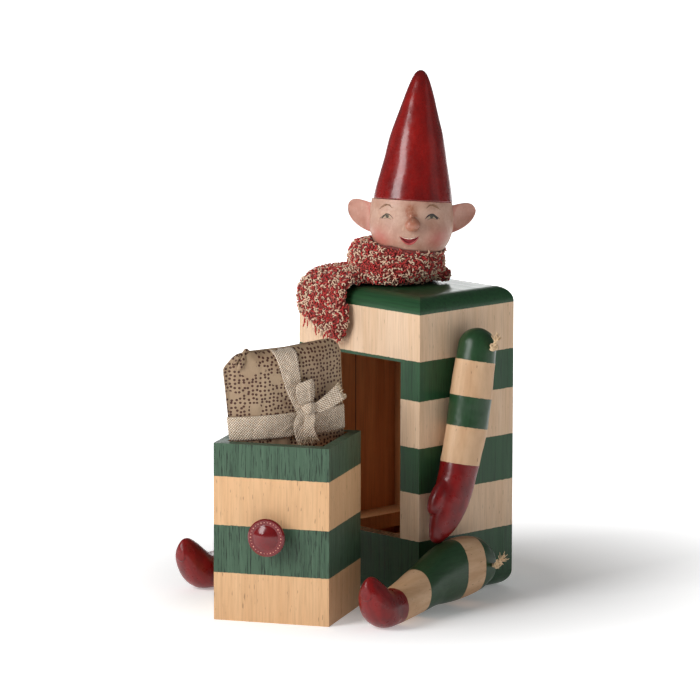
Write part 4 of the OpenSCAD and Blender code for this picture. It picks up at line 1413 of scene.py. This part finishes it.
def ribbon_bands():
    """The band round the parcel's middle and the tie over its top."""
    parts, across, along = [], [], []
    # Round the middle, from the back of the right end
    outline = [gift_section(a, RIBBON_Z) for a in circle(200)]
    heights = np.linspace(-RIBBON_W / 2, RIBBON_W / 2, 13)
    profile = [(h, 0.75) for h in heights] + [(h, 0.12) for h in heights[::-1]]
    rings, ring_across, ring_along = [], [], []
    run, last = 0.0, None
    for x, front, edge in outline + outline[:1]:
        ring = []
        for h, out in profile:
            skin = gift_surface(x * 0.999, RIBBON_Z + h, front) * edge ** 0.6
            lift = 0.25 * lumps(np.array((x, front * 20, h)) * MM, 0.005, 2.0)
            skin_x = flare(x, RIBBON_Z + h) + math.copysign((out + 0.1) * (1 - edge), x)
            ring.append((skin_x, skin + front * (out + lift) * edge, RIBBON_Z + h))
            ring_across.append(h)
        here = np.array(ring[6])
        if last is not None:
            run += np.linalg.norm(here - last)
        last = here
        ring_along += [run] * len(profile)
        rings.append(ring)
    count, wide = len(rings) - 1, len(rings[0])
    parts.append(([v for ring in rings[:-1] for v in ring], wrapped_faces(count, wide)))
    across += ring_across[:count * wide]
    along += ring_along[:count * wide]
    length = run
    # Over the top, from the knot to the band at the back
    path = []
    for front, heights in ((-1, np.linspace(RIBBON_Z + 2, GIFT_HIGH - 0.6, 60)),
                           (1, np.linspace(GIFT_HIGH - 0.6, RIBBON_Z + 2, 60))):
        for z in heights:
            x = at_station(TIE_LINE, z) if front < 0 else TIE_LINE[-1][1]
            path.append((x, gift_surface(x, z, front, 0.85), z - top_drop(x, z)))
    middles = np.array(path)
    keep = [0]
    for i in range(1, len(middles)):
        if np.linalg.norm(middles[i] - middles[keep[-1]]) > 0.35:
            keep.append(i)
    middles = middles[keep]
    for _ in range(6):
        middles[1:-1] = (middles[:-2] + 2 * middles[1:-1] + middles[2:]) / 4
    tangents = unit_rows(np.gradient(middles, axis=0))
    normals = np.cross(tangents, (1, 0, 0))
    if normals[0][1] > 0:
        normals = -normals
    middles = middles + normals * 0.75
    widths = [at_station(TIE_WIDE, m[2]) if m[1] < 0 else RIBBON_W / 2 for m in middles]
    body, a, b = strip(middles, [(1, 0, 0)] * len(middles), normals, widths, 0.6, 0.5, 1.0)
    parts.append(body)
    across += a
    along += b
    length += b[-1]
    verts, faces = merge(parts)
    piece = add_piece("ribbon_bands", gift_place(verts), faces, "gift_body", linen,
                      ("gift_ribbon",))
    set_note(piece, "across", across)
    set_note(piece, "along", along)


# How far the whole knot stands off the parcel's middle
KNOT_SHIFT = (3.4, 0, 0)


def ribbon_knot():
    """A puffed half loop, the knot below it, and three tails with loose threads at their ends."""
    chance = np.random.default_rng(21)
    parts, across, along = [], [], []

    def lay(points, sides, widths, count, thick=0.6, ripple=0.45, seed=0.0):
        middles = smooth_line(points, count) + KNOT_SHIFT
        side_rows = unit_rows(smooth_line(sides, count))
        tangents = unit_rows(np.gradient(middles, axis=0))
        normals = unit_rows(np.cross(tangents, side_rows))
        body, a, b = strip(middles, side_rows, normals, evenly(widths, count), thick, ripple, seed)
        parts.append(body)
        across.extend(a)
        along.extend(b)
        return middles[-1], tangents[-1], side_rows[-1], normals[-1]

    # The loop: up from the knot, over and back down behind itself
    lay([(6.6, -12.0, 134.5), (3.4, -14.4, 141), (2.2, -16.2, 148), (3.6, -15.0, 152.6),
         (6.2, -12.6, 150), (7.4, -11.6, 142), (7.2, -11.4, 135)],
        [(1, 0, 0.2)] * 7, [2.6, 4.6, 5.4, 5.0, 4.8, 4.0, 2.4], 44, seed=3.0)
    # The knot itself, a short wrap across
    lay([(2.6, -10.6, 133.6), (3.6, -13.6, 134.6), (6.8, -15.2, 135.2), (9.8, -13.4, 134.8),
         (10.6, -10.4, 134.0)],
        [(0.1, 0, 1)] * 5, [2.6, 3.2, 3.6, 3.2, 2.6], 26, 0.8, 0.5, 5.0)
    # The tail that hangs down, and a shorter one beside it
    down = lay([(4.0, -12.6, 134.5), (0.6, -13.8, 128), (0.4, -14.8, 121), (3.2, -15.6, 114.6)],
               [(1, 0, 0)] * 4, [3.0, 4.4, 5.2, 7.0], 28, seed=7.0)
    short = lay([(7.6, -12.8, 134.0), (6.0, -15.4, 128), (4.6, -16.8, 122), (5.6, -17.0, 116.6)],
                [(1, -0.3, 0)] * 4, [2.2, 3.4, 3.4, 4.6], 26, seed=8.0)
    # The tail that stands out to the right and fans open
    out = lay([(9.6, -12.2, 134.4), (14.0, -14.0, 135.4), (20.4, -14.8, 138.6), (28.0, -14.2, 143.0)],
              [(0.1, 0, 1), (-0.1, 0, 1), (-0.3, 0.1, 0.95), (-0.42, 0.1, 0.9)],
              [2.4, 4.0, 4.8, 5.2], 30, seed=9.0)
    verts, faces = merge(parts)
    piece = add_piece("ribbon_knot", gift_place(verts), faces, "gift_body", linen,
                      ("gift_bow",))
    set_note(piece, "across", across)
    set_note(piece, "along", along)
    loose = []
    for end, width, count in ((down, 6.6, 17), (short, 4.0, 10), (out, 5.6, 16)):
        loose += threads(*end, width, count, 2.6, chance)
    verts, faces = merge(loose)
    fray = add_piece("ribbon_fray", gift_place(verts), faces, "gift_body", fray_yarn)


linen = weave_material()
fray_yarn = plain("fray_yarn", rgb(206, 186, 158), 0.7, 0.2, 1200, 0.4)
gift_piece()
ribbon_bands()
ribbon_knot()


# ---------------------------------------------------------------- cords

# The cord's radius and the length of one twist, in millimetres
CORD_R = 1.25
CORD_LAY = 7.5
cord_yarn = plain("cord_yarn", rgb(214, 184, 146), 0.85, 0.22, 1500, 0.6, Sheen_Weight=0.2)


def strands(path, radius, turns, sides=7, count=3):
    """Twisted strands that run together along a path."""
    path = np.asarray(path, float)
    tangents = unit_rows(np.gradient(path, axis=0))
    side = np.cross(tangents[0], (0.2, 0.1, 1.0))
    parts = []
    frames = []
    for t in tangents:
        side = unit(side - t * (side @ t))
        frames.append((side, np.cross(t, side)))
    for s in range(count):
        line = []
        for i, (p, (a, b)) in enumerate(zip(path, frames)):
            angle = 2 * math.pi * (turns * i / (len(path) - 1) + s / count)
            line.append(p + radius * 0.52 * (math.cos(angle) * a + math.sin(angle) * b))
        parts.append(tube(line, radius * 0.56, sides))
    return parts


def knot_path(at, size, turn, lean):
    """A loose overhand knot."""
    out = []
    c, s = math.cos(turn), math.sin(turn)
    for t in np.linspace(0.25, 2 * math.pi - 0.1, 70):
        x = math.sin(t) + 2 * math.sin(2 * t)
        y = math.cos(t) - 2 * math.cos(2 * t)
        z = -math.sin(3 * t)
        p = np.array((z * 0.95, (x * c - y * s), (x * s + y * c))) * size / 3
        out.append(np.array(at) + p + np.array((lean * p[2], 0, 0)))
    return out


def cord_piece(name, node, y, z, reach, knot_x, lift, tuft, turn):
    """A cord through the box and both limbs, knotted and frayed outside each. lift raises the knots."""
    chance = np.random.default_rng(int(z + lift))
    path = [(x, y, z) for x in np.linspace(-reach, reach, 420)]
    parts = strands(path, CORD_R, 2 * reach / CORD_LAY)
    for side in (-1, 1):
        centre = np.array((side * knot_x, y, z + lift))
        parts += strands(knot_path(centre, 2.35, turn * side, 0.1), 1.05, 5, 6)
        way = unit(np.array((side * tuft[0], tuft[1], tuft[2]), float))
        start = centre + way * 1.6
        stem = [start + way * d for d in np.linspace(-0.5, 3.0, 8)]
        parts += strands(stem, 1.15, 0.7, 6)
        for _ in range(34):
            stray = chance.normal(size=3) * 0.33
            direction = unit(way + stray)
            length = chance.uniform(2.6, 5.4)
            root = start + way * 2.2 + stray * 1.3
            bend = chance.normal(size=3) * 0.5
            line = smooth_line([root, root + direction * length * 0.55 + bend * 0.5,
                                root + direction * length + bend], 7)
            parts.append(tube(line, np.linspace(0.3, 0.16, 7), 5))
    verts, faces = merge(parts)
    add_piece(name, np.array(verts) * MM, faces, "root", cord_yarn, (node,))


arm_pivot = np.array(joints["right_arm_swing"]["pos_m"]) / MM
leg_pivot = np.array(joints["right_leg_swing"]["pos_m"]) / MM
cord_piece("arm_rope", "arm_cord", arm_pivot[1], arm_pivot[2], 86.6, 86.7, 2.2, (0.3, 0.1, 1.0), 0.6)
cord_piece("leg_rope", "leg_cord", leg_pivot[1], leg_pivot[2], 90.2, 90.4, 1.2, (0.7, 0.2, 0.8), 1.3)


# ---------------------------------------------------------------- knob, boards and the rest

# The knob's face and height in the drawer's own frame, and the radius of its ring of beads
KNOB_FACE, KNOB_Z, BEAD_RING = -35.1 - 11.5, 57.6, 10.1
# A bead's outline: share of its depth, share of its radius
BEAD = [(0.0, 0.55), (0.1, 0.95), (0.3, 1.0), (0.62, 0.8), (0.85, 0.45)]


def knob_marks():
    """A ring of small beads on the knob's rim, in place of any lettering, pale pink as a painted highlight on
    its embossed ring.
    """
    parts = []
    for k, a in enumerate(circle(30)):
        size = 0.34 if k % 3 else 0.5
        x, y, z = BEAD_RING * math.cos(a), KNOB_FACE - 0.02, KNOB_Z + BEAD_RING * math.sin(a)
        parts.append(loft([[(x + size * r * math.cos(b), y + 0.18 - 0.4 * t, z + size * r * math.sin(b))
                            for b in circle(12)] for t, r in BEAD]))
    verts, faces = merge(parts)
    # The beads' pale pink is a painted highlight on the embossed ring
    add_piece("knob_beads", drawer_place(verts), faces, "drawer_body",
              plain("knob_ring_highlight", rgb(208, 142, 124), 0.4, 0.15, 900))


knob_marks()


def finish_node(name, material, bevel=0.0):
    """Gives a solid of the frame its material, and its edges a softening."""
    node = nodes[name]
    for slot in node.material_slots:
        slot.material = material
    if not node.material_slots:
        node.data.materials.append(material)
    if bevel:
        soft = node.modifiers.new("soft_edges", "BEVEL")
        soft.width = bevel
        soft.segments = 3
        soft.limit_method = "ANGLE"
        soft.angle_limit = math.radians(50)


for name in ("front_panel", "back_panel", "left_side", "right_side"):
    finish_node(name, box_wood, 0.0004)
for name in ("top_plate", "base_plate"):
    finish_node(name, plate_paint)
for name in ("drawer_front", "drawer_left", "drawer_right", "drawer_back"):
    finish_node(name, drawer_wood, 0.0007)
for name in ("left_runner", "right_runner", "drawer_floor"):
    finish_node(name, inner_wood, 0.0003)
for name in ("panel_dowels", "neck_dowel", "hat_dowel", "drawer_dowels"):
    finish_node(name, dowel_wood)
finish_node("knob", red_knob)
finish_node("knob_screw", steel)


# ---------------------------------------------------------------- floor, light and camera

def floor_material():
    """A white sweep that glows from within: weakest close to the object, a painted contact shadow, and
    brighter further out, so that it stays white far behind the object.
    """
    p = Paint("floor_white")
    away = p.node("VectorMath", {0: p.place()}, operation="LENGTH").outputs["Value"]
    # The glow is dimmest close to the object: a painted contact shadow round it
    glow = p.math("ADD", p.step(away, 0.1, 0.27, 0.16, 0.84), p.step(away, 0.5, 1.7, 0.0, 0.42))
    p.tree.links.new(glow, p.shader.inputs["Emission Strength"])
    return p.finish((0.92, 0.92, 0.92, 1), 0.95, Emission_Color=(1, 1, 1, 1), Specular_IOR_Level=0.1)


FLOOR_HALF = 6

floor = bpy.data.objects.new("floor", bpy.data.meshes.new("floor"))
floor.data.from_pydata([(-FLOOR_HALF, -FLOOR_HALF, 0), (FLOOR_HALF, -FLOOR_HALF, 0),
                        (FLOOR_HALF, FLOOR_HALF, 0), (-FLOOR_HALF, FLOOR_HALF, 0)], [], [(0, 1, 2, 3)])
scene.collection.objects.link(floor)
floor.data.materials.append(floor_material())

world = bpy.data.worlds.new("studio")
world.use_nodes = True
world.node_tree.nodes["Background"].inputs[0].default_value = (1, 1, 1, 1)
world.node_tree.nodes["Background"].inputs[1].default_value = 0.14
scene.world = world
scene.view_settings.view_transform = "Standard"

TARGET = Vector((0, -0.03, 0.15))


def softbox(name, azimuth, elevation, distance, width, height, power):
    """An area light that looks at the object. Azimuth is from the front, towards +X."""
    a, e = math.radians(azimuth), math.radians(elevation)
    light = bpy.data.lights.new(name, "AREA")
    light.shape = "RECTANGLE"
    light.size, light.size_y = width, height
    light.energy = power
    lamp = bpy.data.objects.new(name, light)
    scene.collection.objects.link(lamp)
    way = Vector((math.sin(a) * math.cos(e), -math.cos(a) * math.cos(e), math.sin(e)))
    lamp.location = TARGET + way * distance
    lamp.rotation_euler = way.to_track_quat("Z", "Y").to_euler()
    lamp.visible_camera = False


# Azimuth, elevation, distance, width, height, power
softbox("key", -8, 25, 1.6, 0.7, 1.0, 19.5)
softbox("fill", 120, 18, 1.8, 0.9, 1.3, 1.0)
softbox("rim", 224, 15, 1.6, 1.2, 0.35, 6)

# The camera's place, and its own right and back, in the row frame
CAMERA_AT = Vector((2.3864, -2.3316, 0.7045))
CAMERA_RIGHT = Vector((0.6909, 0.7230, 0.0))
CAMERA_BACK = Vector((0.7134, -0.6817, 0.1625))
CAMERA_ROLL = 0.13
CAMERA_LENS, CAMERA_SENSOR = 263.4, 36

camera = bpy.data.objects.new("camera", bpy.data.cameras.new("camera"))
scene.collection.objects.link(camera)
camera.data.lens = CAMERA_LENS
camera.data.sensor_width = CAMERA_SENSOR
camera.data.clip_end = 30
camera_up = CAMERA_BACK.cross(CAMERA_RIGHT).normalized()
turned = Matrix((CAMERA_RIGHT.normalized(), camera_up, CAMERA_BACK.normalized())).transposed()
camera.matrix_world = (Matrix.Translation(CAMERA_AT) @ turned.to_4x4()
                       @ Matrix.Rotation(math.radians(CAMERA_ROLL), 4, "Z"))
scene.camera = camera

bpy.context.view_layer.update()
